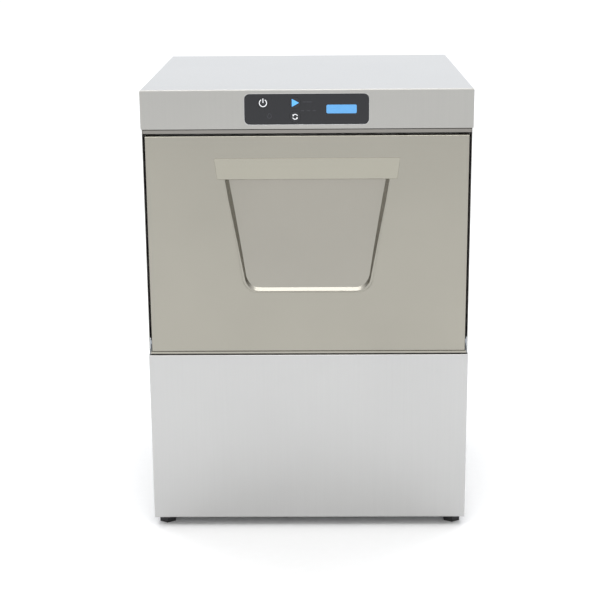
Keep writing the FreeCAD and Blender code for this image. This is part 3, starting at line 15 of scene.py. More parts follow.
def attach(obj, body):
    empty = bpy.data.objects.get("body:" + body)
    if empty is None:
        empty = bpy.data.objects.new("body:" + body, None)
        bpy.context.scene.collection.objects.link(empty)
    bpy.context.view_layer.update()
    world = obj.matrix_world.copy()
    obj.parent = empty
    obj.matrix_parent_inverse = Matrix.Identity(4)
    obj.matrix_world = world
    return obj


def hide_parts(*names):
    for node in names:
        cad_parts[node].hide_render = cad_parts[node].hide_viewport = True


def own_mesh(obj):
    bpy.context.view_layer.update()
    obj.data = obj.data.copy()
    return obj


LOG = logging.getLogger("dishwasher")

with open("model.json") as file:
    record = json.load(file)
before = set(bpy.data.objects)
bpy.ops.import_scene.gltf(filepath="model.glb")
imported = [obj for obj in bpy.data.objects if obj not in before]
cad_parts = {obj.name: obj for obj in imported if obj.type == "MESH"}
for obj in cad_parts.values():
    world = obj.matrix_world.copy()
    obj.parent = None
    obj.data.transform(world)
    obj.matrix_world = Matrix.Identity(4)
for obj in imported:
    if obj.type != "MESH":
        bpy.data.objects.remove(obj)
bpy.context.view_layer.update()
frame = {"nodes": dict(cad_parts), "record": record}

MM = 0.001
RELIEF_MM = 0.05
SKIN_RELIEF_MM = 0.06
Point = tuple[float, float, float]
Flat = tuple[float, float]
Ring = list[bmesh.types.BMVert]


# ---------------------------------------------------------------------------
# Small helpers
# ---------------------------------------------------------------------------


def linear(colour: str) -> tuple[float, float, float, float]:
    """Turn an sRGB hex colour into linear values.

    Args:
        colour: Six hex digits.

    Returns:
        Red, green, blue and an opaque alpha.
    """
    values = []
    for start in (0, 2, 4):
        share = int(colour[start : start + 2], 16) / 255
        values.append(share / 12.92 if share <= 0.04045 else ((share + 0.055) / 1.055) ** 2.4)
    return (values[0], values[1], values[2], 1.0)


def add_node(
    tree: bpy.types.NodeTree, kind: str, inputs: dict[Any, Any] | None = None, **settings: Any
) -> Any:
    """Add one node with its settings, values and links.

    Args:
        tree: The node tree that takes the node.
        kind: The node's type name.
        inputs: Socket name or number to a value, or to an output socket to link.
        **settings: Attributes of the node.

    Returns:
        The new node.
    """
    node = tree.nodes.new(kind)
    for name, value in settings.items():
        setattr(node, name, value)
    for key, value in (inputs or {}).items():
        if isinstance(value, bpy.types.NodeSocket):
            tree.links.new(value, node.inputs[key])
        else:
            node.inputs[key].default_value = value
    return node


def plain_mesh(name: str, shape: bmesh.types.BMesh) -> bpy.types.Mesh:
    """Turn a bmesh into a mesh and free it.

    Args:
        name: The mesh's name.
        shape: The shape, which is used up.

    Returns:
        The mesh, as it was drawn.
    """
    mesh = bpy.data.meshes.new(name)
    shape.to_mesh(mesh)
    shape.free()
    return mesh


def link_object(name: str, mesh: bpy.types.Mesh) -> bpy.types.Object:
    """Put a mesh in the scene under a piece name.

    Args:
        name: The piece's name.
        mesh: Its mesh, with its place in its points.

    Returns:
        The object, at the origin.
    """
    mesh.name = name
    piece = bpy.data.objects.new(name, mesh)
    bpy.context.scene.collection.objects.link(piece)
    return piece


def solid_piece(
    name: str, shape: bmesh.types.BMesh, finish: bpy.types.Material, smooth_deg: float = 0
) -> bpy.types.Object:
    """Finish a bmesh as a piece with outward faces.

    Args:
        name: The piece's name.
        shape: The shape, which is used up.
        finish: Its material.
        smooth_deg: Edges flatter than this are shaded smooth, or 0 for flat faces.

    Returns:
        The new object.
    """
    bmesh.ops.remove_doubles(shape, verts=shape.verts, dist=1e-7)
    bmesh.ops.recalc_face_normals(shape, faces=shape.faces)
    mesh = plain_mesh(name, shape)
    mesh.materials.append(finish)
    if smooth_deg > 0:
        mesh.shade_smooth()
        mesh.set_sharp_from_angle(angle=math.radians(smooth_deg))
    return link_object(name, mesh)


def add_prism(shape: bmesh.types.BMesh, outline: list[Flat], y0: float, y1: float) -> None:
    """Add an upright flat outline with a thickness.

    Args:
        shape: The bmesh that takes it.
        outline: Corners as x and z, in order.
        y0: Its front, in metres.
        y1: Its back, in metres.
    """
    near = [shape.verts.new((x, y0, z)) for x, z in outline]
    far = [shape.verts.new((x, y1, z)) for x, z in outline]
    shape.faces.new(near)
    shape.faces.new(list(reversed(far)))
    count = len(outline)
    for i in range(count):
        j = (i + 1) % count
        shape.faces.new((near[j], near[i], far[i], far[j]))


def add_block(shape: bmesh.types.BMesh, low: Point, high: Point) -> None:
    """Add a block between two corners.

    Args:
        shape: The bmesh that takes it.
        low: Its lowest corner, in metres.
        high: Its highest corner, in metres.
    """
    made = bmesh.ops.create_cube(shape, size=1.0)
    size = Vector(high) - Vector(low)
    middle = (Vector(high) + Vector(low)) / 2
    place = Matrix.Translation(middle) @ Matrix.Diagonal((*size, 1.0))
    bmesh.ops.transform(shape, matrix=place, verts=made["verts"])


def join_rings(shape: bmesh.types.BMesh, low: Ring, high: Ring) -> None:
    """Close the strip between two rings with as many points each.

    Args:
        shape: The bmesh that holds them.
        low: The first ring's points, in order.
        high: The second ring's points, in the same order.
    """
    count = len(low)
    for i in range(count):
        j = (i + 1) % count
        shape.faces.new((low[i], low[j], high[j], high[i]))


def turned_ring(
    shape: bmesh.types.BMesh, radius: float, height: float, place: Matrix, steps: int
) -> Ring:
    """Add the points of one ring round an axis.

    Args:
        shape: The bmesh that takes them.
        radius: Radius of the ring.
        height: Its height along the axis.
        place: Where the axis and its foot go.
        steps: Points round the axis.

    Returns:
        The ring's points, in order.
    """
    ring = []
    for i in range(steps):
        angle = 2 * math.pi * i / steps
        spot = Vector((radius * math.cos(angle), radius * math.sin(angle), height))
        ring.append(shape.verts.new(place @ spot))
    return ring


def add_lathe(shape: bmesh.types.BMesh, profile: list[Flat], place: Matrix, steps: int) -> None:
    """Add a turned shape, closed at both ends of its profile.

    Args:
        shape: The bmesh that takes it.
        profile: Radius and height, from the foot to the head.
        place: Where the turning axis and its foot go.
        steps: Faces round the axis.
    """
    rings = [turned_ring(shape, radius, height, place, steps) for radius, height in profile]
    for low, high in zip(rings, rings[1:]):
        join_rings(shape, low, high)
    shape.faces.new(list(reversed(rings[0])))
    shape.faces.new(rings[-1])


def arc_band(
    centre: Flat, radius: float, width: float, start: float, end: float, steps: int
) -> list[Flat]:
    """Outline of a band along an arc.

    Args:
        centre: Centre as x and z, in metres.
        radius: Radius of the band's middle line.
        width: Width of the band.
        start: First angle in degrees, from +x towards +z.
        end: Last angle in degrees.
        steps: Runs along the arc.

    Returns:
        The outline's corners in order.
    """
    points = []
    outer, inner = radius + width / 2, radius - width / 2
    for reach, order in ((outer, range(steps + 1)), (inner, range(steps, -1, -1))):
        for i in order:
            angle = math.radians(start + (end - start) * i / steps)
            points.append((centre[0] + reach * math.cos(angle), centre[1] + reach * math.sin(angle)))
    return points


def bar_outline(x: float, z: float, length: float, height: float) -> list[Flat]:
    """Outline of a level bar.

    Args:
        x: Its left end.
        z: Height of its middle line.
        length: Its length.
        height: Its height.

    Returns:
        The outline's corners in order.
    """
    low, high = z - height / 2, z + height / 2
    return [(x, low), (x + length, low), (x + length, high), (x, high)]


# ---------------------------------------------------------------------------
# Finishes
# ---------------------------------------------------------------------------


class Grain(Enum):
    """Direction of a sheet's grain: 1 across its lines, 0 along them."""

    UP = (1.0, 1.0, 0.0)
    ACROSS = (0.0, 1.0, 1.0)
    DEEP = (1.0, 0.0, 1.0)


@dataclass(frozen=True)
class SheetSteel:
    """Stainless or plated sheet with a straight grain and soft clouding.

    Attributes:
        name: The material's name.
        colour: Reflected colour in sRGB.
        roughness: Middle roughness.
        grain_mm: Spacing of the grain lines.
        run_mm: Length of a grain line.
        grain: Direction of the grain.
        bump: Strength of the grain's relief.
        streak: Share by which the grain darkens the colour.
        cloud: Share by which the clouding darkens the colour.
    """

    name: str
    colour: str
    roughness: float
    grain_mm: float = 1.6
    run_mm: float = 160.0
    grain: Grain = Grain.UP
    bump: float = 0.06
    streak: float = 0.05
    cloud: float = 0.04

    def build(self) -> bpy.types.Material:
        """Make the node material.

        Returns:
            The material.
        """
        material, tree, shader = new_material(self.name)
        place = add_node(tree, "ShaderNodeTexCoord").outputs["Object"]
        across, along = 1 / (self.grain_mm * MM), 1 / (self.run_mm * MM)
        stretch = tuple(across if share else along for share in self.grain.value)
        lines = add_node(tree, "ShaderNodeMapping", {"Vector": place, "Scale": stretch})
        noise = add_node(
            tree, "ShaderNodeTexNoise", {"Vector": lines.outputs[0], "Scale": 1.0, "Detail": 3.0}
        )
        cloud = add_node(tree, "ShaderNodeTexNoise", {"Vector": place, "Scale": 5.5, "Detail": 2.0})
        base = linear(self.colour)
        grained = add_node(
            tree,
            "ShaderNodeMix",
            {0: noise.outputs["Fac"], 6: scaled(base, 1 - self.streak), 7: scaled(base, 1 + self.streak)},
            data_type="RGBA",
        )
        shade = add_node(
            tree, "ShaderNodeMapRange", {0: cloud.outputs["Fac"], 1: 0.3, 2: 0.7, 3: 1 - self.cloud, 4: 1.0}
        )
        clouded = add_node(
            tree,
            "ShaderNodeMix",
            {0: 1.0, 6: grained.outputs[2], 7: shade.outputs[0]},
            data_type="RGBA",
            blend_type="MULTIPLY",
        )
        polish = add_node(
            tree,
            "ShaderNodeMapRange",
            {0: noise.outputs["Fac"], 1: 0.25, 2: 0.75, 3: self.roughness * 0.88, 4: self.roughness * 1.14},
        )
        relief = add_node(
            tree,
            "ShaderNodeBump",
            {"Height": noise.outputs["Fac"], "Strength": self.bump, "Distance": RELIEF_MM * MM},
        )
        tree.links.new(clouded.outputs[2], shader.inputs["Base Color"])
        tree.links.new(polish.outputs[0], shader.inputs["Roughness"])
        tree.links.new(relief.outputs[0], shader.inputs["Normal"])
        shader.inputs["Metallic"].default_value = 1.0
        return material


@dataclass(frozen=True)
class SpangledSteel:
    """Zinc coat whose crystals differ in brightness.

    Attributes:
        name: The material's name.
        colour: Reflected colour in sRGB.
        roughness: Middle roughness.
        spangle_mm: Size of one crystal.
        contrast: Share by which crystals differ in brightness.
    """

    name: str
    colour: str
    roughness: float
    spangle_mm: float
    contrast: float

    def build(self) -> bpy.types.Material:
        """Make the node material.

        Returns:
            The material.
        """
        material, tree, shader = new_material(self.name)
        place = add_node(tree, "ShaderNodeTexCoord").outputs["Object"]
        cells = add_node(
            tree, "ShaderNodeTexVoronoi", {"Vector": place, "Scale": 1 / (self.spangle_mm * MM)}
        )
        tone = add_node(tree, "ShaderNodeSeparateColor", {0: cells.outputs["Color"]})
        base = linear(self.colour)
        mixed = add_node(
            tree,
            "ShaderNodeMix",
            {0: tone.outputs[0], 6: scaled(base, 1 - self.contrast), 7: scaled(base, 1 + self.contrast)},
            data_type="RGBA",
        )
        polish = add_node(
            tree,
            "ShaderNodeMapRange",
            {0: tone.outputs[1], 3: self.roughness * 0.85, 4: self.roughness * 1.15},
        )
        fine = add_node(tree, "ShaderNodeTexNoise", {"Vector": place, "Scale": 900.0, "Detail": 2.0})
        relief = add_node(
            tree,
            "ShaderNodeBump",
            {"Height": fine.outputs["Fac"], "Strength": 0.08, "Distance": RELIEF_MM * MM},
        )
        tree.links.new(mixed.outputs[2], shader.inputs["Base Color"])
        tree.links.new(polish.outputs[0], shader.inputs["Roughness"])
        tree.links.new(relief.outputs[0], shader.inputs["Normal"])
        shader.inputs["Metallic"].default_value = 1.0
        return material


@dataclass(frozen=True)
class Moulded:
    """Moulded plastic, rubber, laminate or enamel with a fine skin and faint mottling.

    Attributes:
        name: The material's name.
        colour: Body colour in sRGB.
        roughness: Middle roughness.
        ior: Index of refraction.
        skin_mm: Size of the skin's texture.
        bump: Strength of that texture.
        mottle: Share by which the colour varies.
        coat: Weight of a clear top coat.
        sheen: Weight of a dusty sheen.
        soft: Share of light that scatters inside.
    """

    name: str
    colour: str
    roughness: float
    ior: float = 1.5
    skin_mm: float = 0.8
    bump: float = 0.12
    mottle: float = 0.05
    coat: float = 0.0
    sheen: float = 0.0
    soft: float = 0.0

    def build(self) -> bpy.types.Material:
        """Make the node material.

        Returns:
            The material.
        """
        material, tree, shader = new_material(self.name)
        place = add_node(tree, "ShaderNodeTexCoord").outputs["Object"]
        skin = add_node(
            tree, "ShaderNodeTexNoise", {"Vector": place, "Scale": 1 / (self.skin_mm * MM), "Detail": 2.0}
        )
        cloud = add_node(tree, "ShaderNodeTexNoise", {"Vector": place, "Scale": 14.0, "Detail": 3.0})
        base = linear(self.colour)
        mixed = add_node(
            tree,
            "ShaderNodeMix",
            {0: cloud.outputs["Fac"], 6: scaled(base, 1 - self.mottle), 7: scaled(base, 1 + self.mottle)},
            data_type="RGBA",
        )
        polish = add_node(
            tree,
            "ShaderNodeMapRange",
            {0: cloud.outputs["Fac"], 1: 0.3, 2: 0.7, 3: self.roughness * 0.9, 4: self.roughness * 1.1},
        )
        relief = add_node(
            tree,
            "ShaderNodeBump",
            {"Height": skin.outputs["Fac"], "Strength": self.bump, "Distance": SKIN_RELIEF_MM * MM},
        )
        tree.links.new(mixed.outputs[2], shader.inputs["Base Color"])
        tree.links.new(polish.outputs[0], shader.inputs["Roughness"])
        tree.links.new(relief.outputs[0], shader.inputs["Normal"])
        shader.inputs["IOR"].default_value = self.ior
        shader.inputs["Coat Weight"].default_value = self.coat
        shader.inputs["Coat Roughness"].default_value = 0.06
        shader.inputs["Sheen Weight"].default_value = self.sheen
        shader.inputs["Subsurface Weight"].default_value = self.soft
        shader.inputs["Subsurface Scale"].default_value = 0.002
        return material


@dataclass(frozen=True)
class BackLit:
    """A window or printed mark with a little light of its own.

    Attributes:
        name: The material's name.
        colour: Colour in sRGB.
        glow: Strength of its light.
        edge: Share by which colour and glow fade over small patches.
    """

    name: str
    colour: str
    glow: float
    edge: float = 0.06

    def build(self) -> bpy.types.Material:
        """Make the node material.

        Returns:
            The material.
        """
        material, tree, shader = new_material(self.name)
        place = add_node(tree, "ShaderNodeTexCoord").outputs["Object"]
        patch = add_node(tree, "ShaderNodeTexNoise", {"Vector": place, "Scale": 120.0, "Detail": 2.0})
        base = linear(self.colour)
        mixed = add_node(
            tree,
            "ShaderNodeMix",
            {0: patch.outputs["Fac"], 6: scaled(base, 1 - self.edge), 7: base},
            data_type="RGBA",
        )
        tree.links.new(mixed.outputs[2], shader.inputs["Base Color"])
        tree.links.new(mixed.outputs[2], shader.inputs["Emission Color"])
        shader.inputs["Emission Strength"].default_value = self.glow
        shader.inputs["Roughness"].default_value = 0.25
        return material


def scaled(colour: tuple[float, ...], share: float) -> tuple[float, float, float, float]:
    """Make a linear colour lighter or darker.

    Args:
        colour: The linear colour.
        share: What its red, green and blue are multiplied by.

    Returns:
        The colour, no channel above 1, with an opaque alpha.
    """
    red, green, blue = (min(1.0, channel * share) for channel in colour[:3])
    return (red, green, blue, 1.0)


def new_material(name: str) -> tuple[bpy.types.Material, bpy.types.NodeTree, Any]:
    """Start a material with one shader.

    Args:
        name: The material's name.

    Returns:
        The material, its tree and its shader node.
    """
    material = bpy.data.materials.new(name)
    material.use_nodes = True
    tree = material.node_tree
    tree.nodes.clear()
    shader = add_node(tree, "ShaderNodeBsdfPrincipled")
    add_node(tree, "ShaderNodeOutputMaterial", {"Surface": shader.outputs[0]})
    return material, tree, shader


# Each slot with what it is made of.  Grain spacings are drawn coarser than a
# real grit of about 0.1 mm, which would be too fine to show.  The colours of
# the steels are set under the lights below, and the satin and fine rolled
# ones are darker than typical stainless.
FINISHES: dict[str, Any] = {
    # 304 stainless with a satin grain: pale, even, with faint upright lines
    "panel_steel": SheetSteel("satin_stainless", "ACABA7", 0.34, 1.5, 180.0, Grain.UP, 0.10, 0.04, 0.025),
    # 304 stainless rolled finer: smoother and warmer, with soft reflections
    "door_steel": SheetSteel("fine_rolled_stainless", "9E9B91", 0.22, 1.2, 240.0, Grain.UP, 0.05, 0.02, 0.05),
    # Deep-drawn stainless: bright, with a fine grain from the press
    "chamber_steel": SheetSteel("drawn_stainless", "C9CACB", 0.22, 1.0, 60.0, Grain.DEEP, 0.08, 0.04, 0.05),
    # Hot-dipped sheet: grey and dull, with spangles 9 mm across
    "galvanised_steel": SpangledSteel("galvanised_sheet", "A6A9AB", 0.42, 9.0, 0.10),
    # Electroplated zinc: semi-bright with a slight blue
    "bare_steel": SpangledSteel("zinc_plated_steel", "A9ADB2", 0.30, 1.6, 0.05),
    # Oiled spring wire: dark and satin
    "spring_steel": SheetSteel("oiled_spring_wire", "6E7073", 0.30, 0.6, 8.0, Grain.UP, 0.05, 0.10, 0.05),
    # Pressed and polished stainless blades
    "arm_steel": SheetSteel("polished_stainless", "D2D3D4", 0.17, 1.2, 90.0, Grain.ACROSS, 0.06, 0.04, 0.04),
    # Slotted strainer sheet: brushed across
    "filter_steel": SheetSteel(
        "strainer_stainless", "BFC1C2", 0.30, 1.0, 50.0, Grain.ACROSS, 0.08, 0.06, 0.05
    ),
    # Mineral-filled heating rod: browned by heat
    "heater_sheath": SheetSteel(
        "heat_tinted_sheath", "8A7E70", 0.36, 1.5, 20.0, Grain.DEEP, 0.08, 0.18, 0.12
    ),
    # Welded tank: satin, with soft rolling marks
    "boiler_steel": SheetSteel(
        "rolled_tank_stainless", "B9BAB9", 0.34, 2.0, 120.0, Grain.ACROSS, 0.10, 0.06, 0.06
    ),
    # Drawn copper, a little browned
    "copper_pipe": SheetSteel("drawn_copper", "C07A52", 0.28, 1.4, 40.0, Grain.UP, 0.08, 0.12, 0.14),
    # Turned brass, dulled by handling
    "brass_fitting": SheetSteel("turned_brass", "C3A35E", 0.30, 0.5, 12.0, Grain.ACROSS, 0.08, 0.08, 0.08),
    # Smoked acrylic, polished: near black, and grey where it reflects
    "overlay_acrylic": Moulded("smoked_acrylic", "121318", 0.10, 1.49, 6.0, 0.01, 0.06),
    # Smoked key cap: the same with a slightly duller skin
    "key_acrylic": Moulded("smoked_key_cap", "1A1B1F", 0.14, 1.49, 3.0, 0.02, 0.06),
    # Blue diffusing lens with a weak light of its own
    "lens_blue": BackLit("pale_blue_lens", "5A9DD4", 0.16),
    # Moulded polyamide: black with a fine dull skin
    "black_plastic": Moulded("black_polyamide", "1C1D1F", 0.46, 1.53, 0.7, 0.15),
    # Lacquered glass-fibre laminate: dark green under a clear gloss
    "board_laminate": Moulded("lacquered_laminate", "1F5A35", 0.28, 1.55, 1.2, 0.06, 0.10, 0.4),
    # Injection-moulded rack: waxy blue-grey polypropylene
    "rack_polypropylene": Moulded(
        "rack_polypropylene", "5F87A8", 0.42, 1.49, 0.9, 0.10, 0.06, soft=0.08
    ),
    # Water fittings: waxy grey polypropylene
    "grey_plastic": Moulded("grey_polypropylene", "85898C", 0.44, 1.49, 0.8, 0.12, 0.06, soft=0.04),
    # Moulded ABS: pale grey with a fine texture
    "box_plastic": Moulded("light_grey_abs", "C6C7C3", 0.40, 1.54, 0.7, 0.14, 0.04),
    # Stove enamel: slight orange peel under a thin gloss
    "motor_paint": Moulded("blue_grey_enamel", "46586A", 0.34, 1.52, 2.2, 0.20, 0.08, 0.3),
    # Moulded silicone: dark grey and dusty
    "seal_rubber": Moulded("silicone_rubber", "37383A", 0.58, 1.41, 0.9, 0.15, 0.06, sheen=0.15),
    # Moulded hose rubber: near black, matt and a little rough
    "hose_rubber": Moulded("moulded_hose_rubber", "242528", 0.62, 1.52, 1.6, 0.22, 0.08, sheen=0.15),
    # Moulded nylon pads: black with a dull skin
    "foot_plastic": Moulded("black_nylon", "151517", 0.42, 1.53, 0.8, 0.16, 0.06),
}

# Nodes whose sheet looks different from the rest of its slot
SHEETS: dict[str, Any] = {
    # The cover's satin sheet, painted lighter: a painted reflection of the bright floor in front of it
    "lower_front_panel": SheetSteel(
        "floor_reflection_satin_stainless", "BDBDBC", 0.36, 1.5, 180.0, Grain.UP, 0.10, 0.04, 0.025
    ),
    # The cover's stainless, a little rougher and painted darker as the shade in the gap under the cover, with
    # its grain across
    "upper_front_rail": SheetSteel(
        "shaded_rail_stainless", "8E8B86", 0.40, 2.0, 120.0, Grain.ACROSS, 0.10, 0.06, 0.04
    ),
    # Pressed sheet: lighter and greyer than the door's skin
    "finger_pocket": SheetSteel(
        "pressed_stainless", "A5A299", 0.24, 1.2, 240.0, Grain.UP, 0.05, 0.02, 0.04
    ),
    # Grip sheet: the door's tone, a shade lighter
    "grip_strip": SheetSteel("grip_stainless", "A6A397", 0.24, 1.2, 240.0, Grain.UP, 0.05, 0.02, 0.03),
}

# White and blue ink that stays bright on the dark plate, and ink that is unlit
WHITE_PRINT = BackLit("white_screen_print", "E2E3E6", 0.25)
BLUE_PRINT = BackLit("blue_screen_print", "57A5E6", 0.35)
FAINT_PRINT = BackLit("unlit_screen_print", "33343A", 0.02)


class Palette:
    """The built materials, one for each record slot and print."""

    def __init__(self) -> None:
        """Build every finish once."""
        self.slots = {slot: finish.build() for slot, finish in FINISHES.items()}
        self.sheets = {node: finish.build() for node, finish in SHEETS.items()}
        self.white = WHITE_PRINT.build()
        self.blue = BLUE_PRINT.build()
        self.faint = FAINT_PRINT.build()

    def dress_frame(self) -> None:
        """Give every node of the frame its slot's material."""
        slot_of = {part["node"]: part["material_slot"] for part in frame["record"]["subparts"]}
        for node, piece in frame["nodes"].items():
            piece.data.materials.clear()
            piece.data.materials.append(self.sheets.get(node, self.slots[slot_of[node]]))
            LOG.info("dressed %s in %s", node, slot_of[node])


# ---------------------------------------------------------------------------
# Geometry Nodes
# ---------------------------------------------------------------------------


@dataclass
class Pattern:
    """A Geometry Nodes tree that is run once and kept as a plain mesh.

    Attributes:
        name: The tree's name.
        sockets: Input names with their socket types.
    """

    name: str
    sockets: list[tuple[str, str]]
    tree: Any = field(init=False)
    source: Any = field(init=False)

    def __post_init__(self) -> None:
        """Start the tree with its inputs."""
        self.tree = bpy.data.node_groups.new(self.name, "GeometryNodeTree")
        face = self.tree.interface
        face.new_socket(name="Geometry", in_out="INPUT", socket_type="NodeSocketGeometry")
        for label, kind in self.sockets:
            face.new_socket(name=label, in_out="INPUT", socket_type=kind)
        face.new_socket(name="Finish", in_out="INPUT", socket_type="NodeSocketMaterial")
        face.new_socket(name="Geometry", in_out="OUTPUT", socket_type="NodeSocketGeometry")
        self.source = self.tree.nodes.new("NodeGroupInput")

    def close(self, geometry: bpy.types.NodeSocket) -> None:
        """End the tree in real geometry with its material.

        Args:
            geometry: The socket that holds the finished shape.
        """
        real = add_node(self.tree, "GeometryNodeRealizeInstances", {0: geometry})
        finish = self.source.outputs["Finish"]
        dressed = add_node(
            self.tree, "GeometryNodeSetMaterial", {"Geometry": real.outputs[0], "Material": finish}
        )
        add_node(self.tree, "NodeGroupOutput", {0: dressed.outputs[0]})

    def run(
        self, name: str, finish: bpy.types.Material, values: dict[str, Any], points: list[Point]
    ) -> bpy.types.Object:
        """Run the tree and keep its result.

        Args:
            name: The piece's name.
            finish: Its material.
            values: Input names with their values.
            points: Points of the carrier mesh, in metres.

        Returns:
            The new piece.
        """
        carrier_mesh = bpy.data.meshes.new(name + "_carrier")
        carrier_mesh.from_pydata(points, [], [])
        carrier = bpy.data.objects.new(name + "_carrier", carrier_mesh)
        bpy.context.scene.collection.objects.link(carrier)
        modifier = carrier.modifiers.new("pattern", "NODES")
        modifier.node_group = self.tree
        wanted = dict(values, Finish=finish)
        for item in self.tree.interface.items_tree:
            if item.in_out == "INPUT" and item.name in wanted:
                modifier[item.identifier] = wanted[item.name]
        graph = bpy.context.evaluated_depsgraph_get()
        mesh = bpy.data.meshes.new_from_object(carrier.evaluated_get(graph), depsgraph=graph)
        carrier.modifiers.remove(modifier)
        bpy.data.objects.remove(carrier)
        if not mesh.materials:
            mesh.materials.append(finish)
        return link_object(name, mesh)


def scatter_pattern() -> Pattern:
    """Make a tree that sets one shape on every carrier point.

    Returns:
        The pattern, with the inputs Shape and Turn.
    """
    sockets = [("Shape", "NodeSocketObject"), ("Turn", "NodeSocketRotation")]
    pattern = Pattern("shape_on_points", sockets)
    shape = add_node(pattern.tree, "GeometryNodeObjectInfo", {"Object": pattern.source.outputs["Shape"]})
    placed = add_node(
        pattern.tree,
        "GeometryNodeInstanceOnPoints",
        {
            "Points": pattern.source.outputs["Geometry"],
            "Instance": shape.outputs["Geometry"],
            "Rotation": pattern.source.outputs["Turn"],
        },
    )
    pattern.close(placed.outputs[0])
    return pattern


def helix_pattern() -> Pattern:
    """Make a tree that winds a round wire along +Z.

    Returns:
        The pattern, with the inputs Turns, Radius, Length, Wire, Steps and Sides.
    """
    pattern = Pattern(
        "wound_wire",
        [
            ("Turns", "NodeSocketFloat"),
            ("Radius", "NodeSocketFloat"),
            ("Length", "NodeSocketFloat"),
            ("Wire", "NodeSocketFloat"),
            ("Steps", "NodeSocketInt"),
            ("Sides", "NodeSocketInt"),
        ],
    )
    source = pattern.source.outputs
    line = add_node(
        pattern.tree,
        "GeometryNodeCurveSpiral",
        {
            "Resolution": source["Steps"],
            "Rotations": source["Turns"],
            "Start Radius": source["Radius"],
            "End Radius": source["Radius"],
            "Height": source["Length"],
        },
    )
    ring = add_node(
        pattern.tree,
        "GeometryNodeCurvePrimitiveCircle",
        {"Resolution": source["Sides"], "Radius": source["Wire"]},
    )
    tube = add_node(
        pattern.tree,
        "GeometryNodeCurveToMesh",
        {"Curve": line.outputs[0], "Profile Curve": ring.outputs[0], "Fill Caps": True},
    )
    pattern.close(tube.outputs[0])
    return pattern


# ---------------------------------------------------------------------------
# Sub-assemblies
# ---------------------------------------------------------------------------


@dataclass
class ControlMarks:
    """Printed marks on the keys and the overlay.

    Attributes:
        face: Front of the overlay, in metres.
        print_t: Thickness of a printed mark.
        power: Centre of the power key.
        start: Centre of the start key.
        cycle: Centre of the cycle key.
        ghost: Centre of the unlit drop.
        power_r: Radius of the power mark's ring.
        cycle_r: Radius of the ring that the cycle arrows follow.
        stroke: Width of a ring's line.
        arrow_half: Half width of an arrow's head.
        indicator_h: Height of an unlit stage indicator.
        indicators: Left end, height and length of each indicator.
    """

    face: float = -0.2939
    print_t: float = 0.0001
    power: Flat = (-0.075, 0.787)
    start: Flat = (-0.020, 0.787)
    cycle: Flat = (-0.020, 0.763)
    ghost: Flat = (-0.064, 0.765)
    power_r: float = 0.0062
    cycle_r: float = 0.0042
    stroke: float = 0.0014
    arrow_half: float = 0.0019
    indicator_h: float = 0.0011
    indicators: tuple[tuple[float, float, float], ...] = (
        (-0.0065, 0.7885, 0.0150),
        (-0.0095, 0.7735, 0.0050),
        (0.0005, 0.7735, 0.0050),
        (0.0105, 0.7735, 0.0050),
    )

    def mark(self, name: str, outlines: list[list[Flat]], finish: bpy.types.Material, body: str) -> None:
        """Print outlines on the overlay or a key.

        Args:
            name: The piece's name.
            outlines: Closed outlines as x and z.
            finish: The print's material.
            body: The body that it moves with.
        """
        shape = bmesh.new()
        for outline in outlines:
            add_prism(shape, outline, self.face - self.print_t, self.face + self.print_t)
        piece = solid_piece(name, shape, finish)
        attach(piece, body)
        LOG.info("printed %s", name)

    def build(self, palette: Palette) -> None:
        """Make every mark.

        Args:
            palette: The built materials.
        """
        x, z = self.power
        low, high = z + 0.0002, z + 0.0078
        bar = [(x - 0.0007, low), (x + 0.0007, low), (x + 0.0007, high), (x - 0.0007, high)]
        ring = arc_band(self.power, self.power_r, self.stroke, 120, 420, 36)
        self.mark("power_mark", [ring, bar], palette.white, "power_key")
        x, z = self.start
        play = [(x - 0.0055, z - 0.0068), (x + 0.0069, z), (x - 0.0055, z + 0.0068)]
        self.mark("start_mark", [play], palette.blue, "start_key")
        self.mark("cycle_mark", self.cycle_outlines(), palette.white, "cycle_key")
        bars = [bar_outline(x0, z0, length, self.indicator_h) for x0, z0, length in self.indicators]
        self.mark("unlit_marks", [*self.drop_outlines(), *bars], palette.faint, "cabinet")

    def drop_outlines(self) -> list[list[Flat]]:
        """Draw the unlit drop: a bowl and two slanted sides.

        Returns:
            The closed outlines.
        """
        x, z = self.ghost
        drop = arc_band((x, z - 0.001), 0.0034, 0.0009, 150, 390, 24)
        corners = ((-0.0034, 0.0006), (-0.0026, 0.0003), (0.0004, 0.0052), (0.0, 0.0059))
        left = [(x + dx, z + dz) for dx, dz in corners]
        right = [(x - corners[i][0], z + corners[i][1]) for i in (0, 3, 2, 1)]
        return [drop, left, right]

    def cycle_outlines(self) -> list[list[Flat]]:
        """Draw two arrows that chase each other round a circle.

        Returns:
            The closed outlines.
        """
        made = []
        radius, half = self.cycle_r, self.arrow_half
        for turn in (20.0, 200.0):
            made.append(arc_band(self.cycle, radius, self.stroke, turn, turn + 118.0, 14))
            tip = math.radians(turn + 152.0)
            foot = math.radians(turn + 116.0)
            corners = []
            for reach, angle in ((radius + half, foot), (radius, tip), (radius - half, foot)):
                dx, dz = reach * math.cos(angle), reach * math.sin(angle)
                corners.append((self.cycle[0] + dx, self.cycle[1] + dz))
            made.append(corners)
        return made


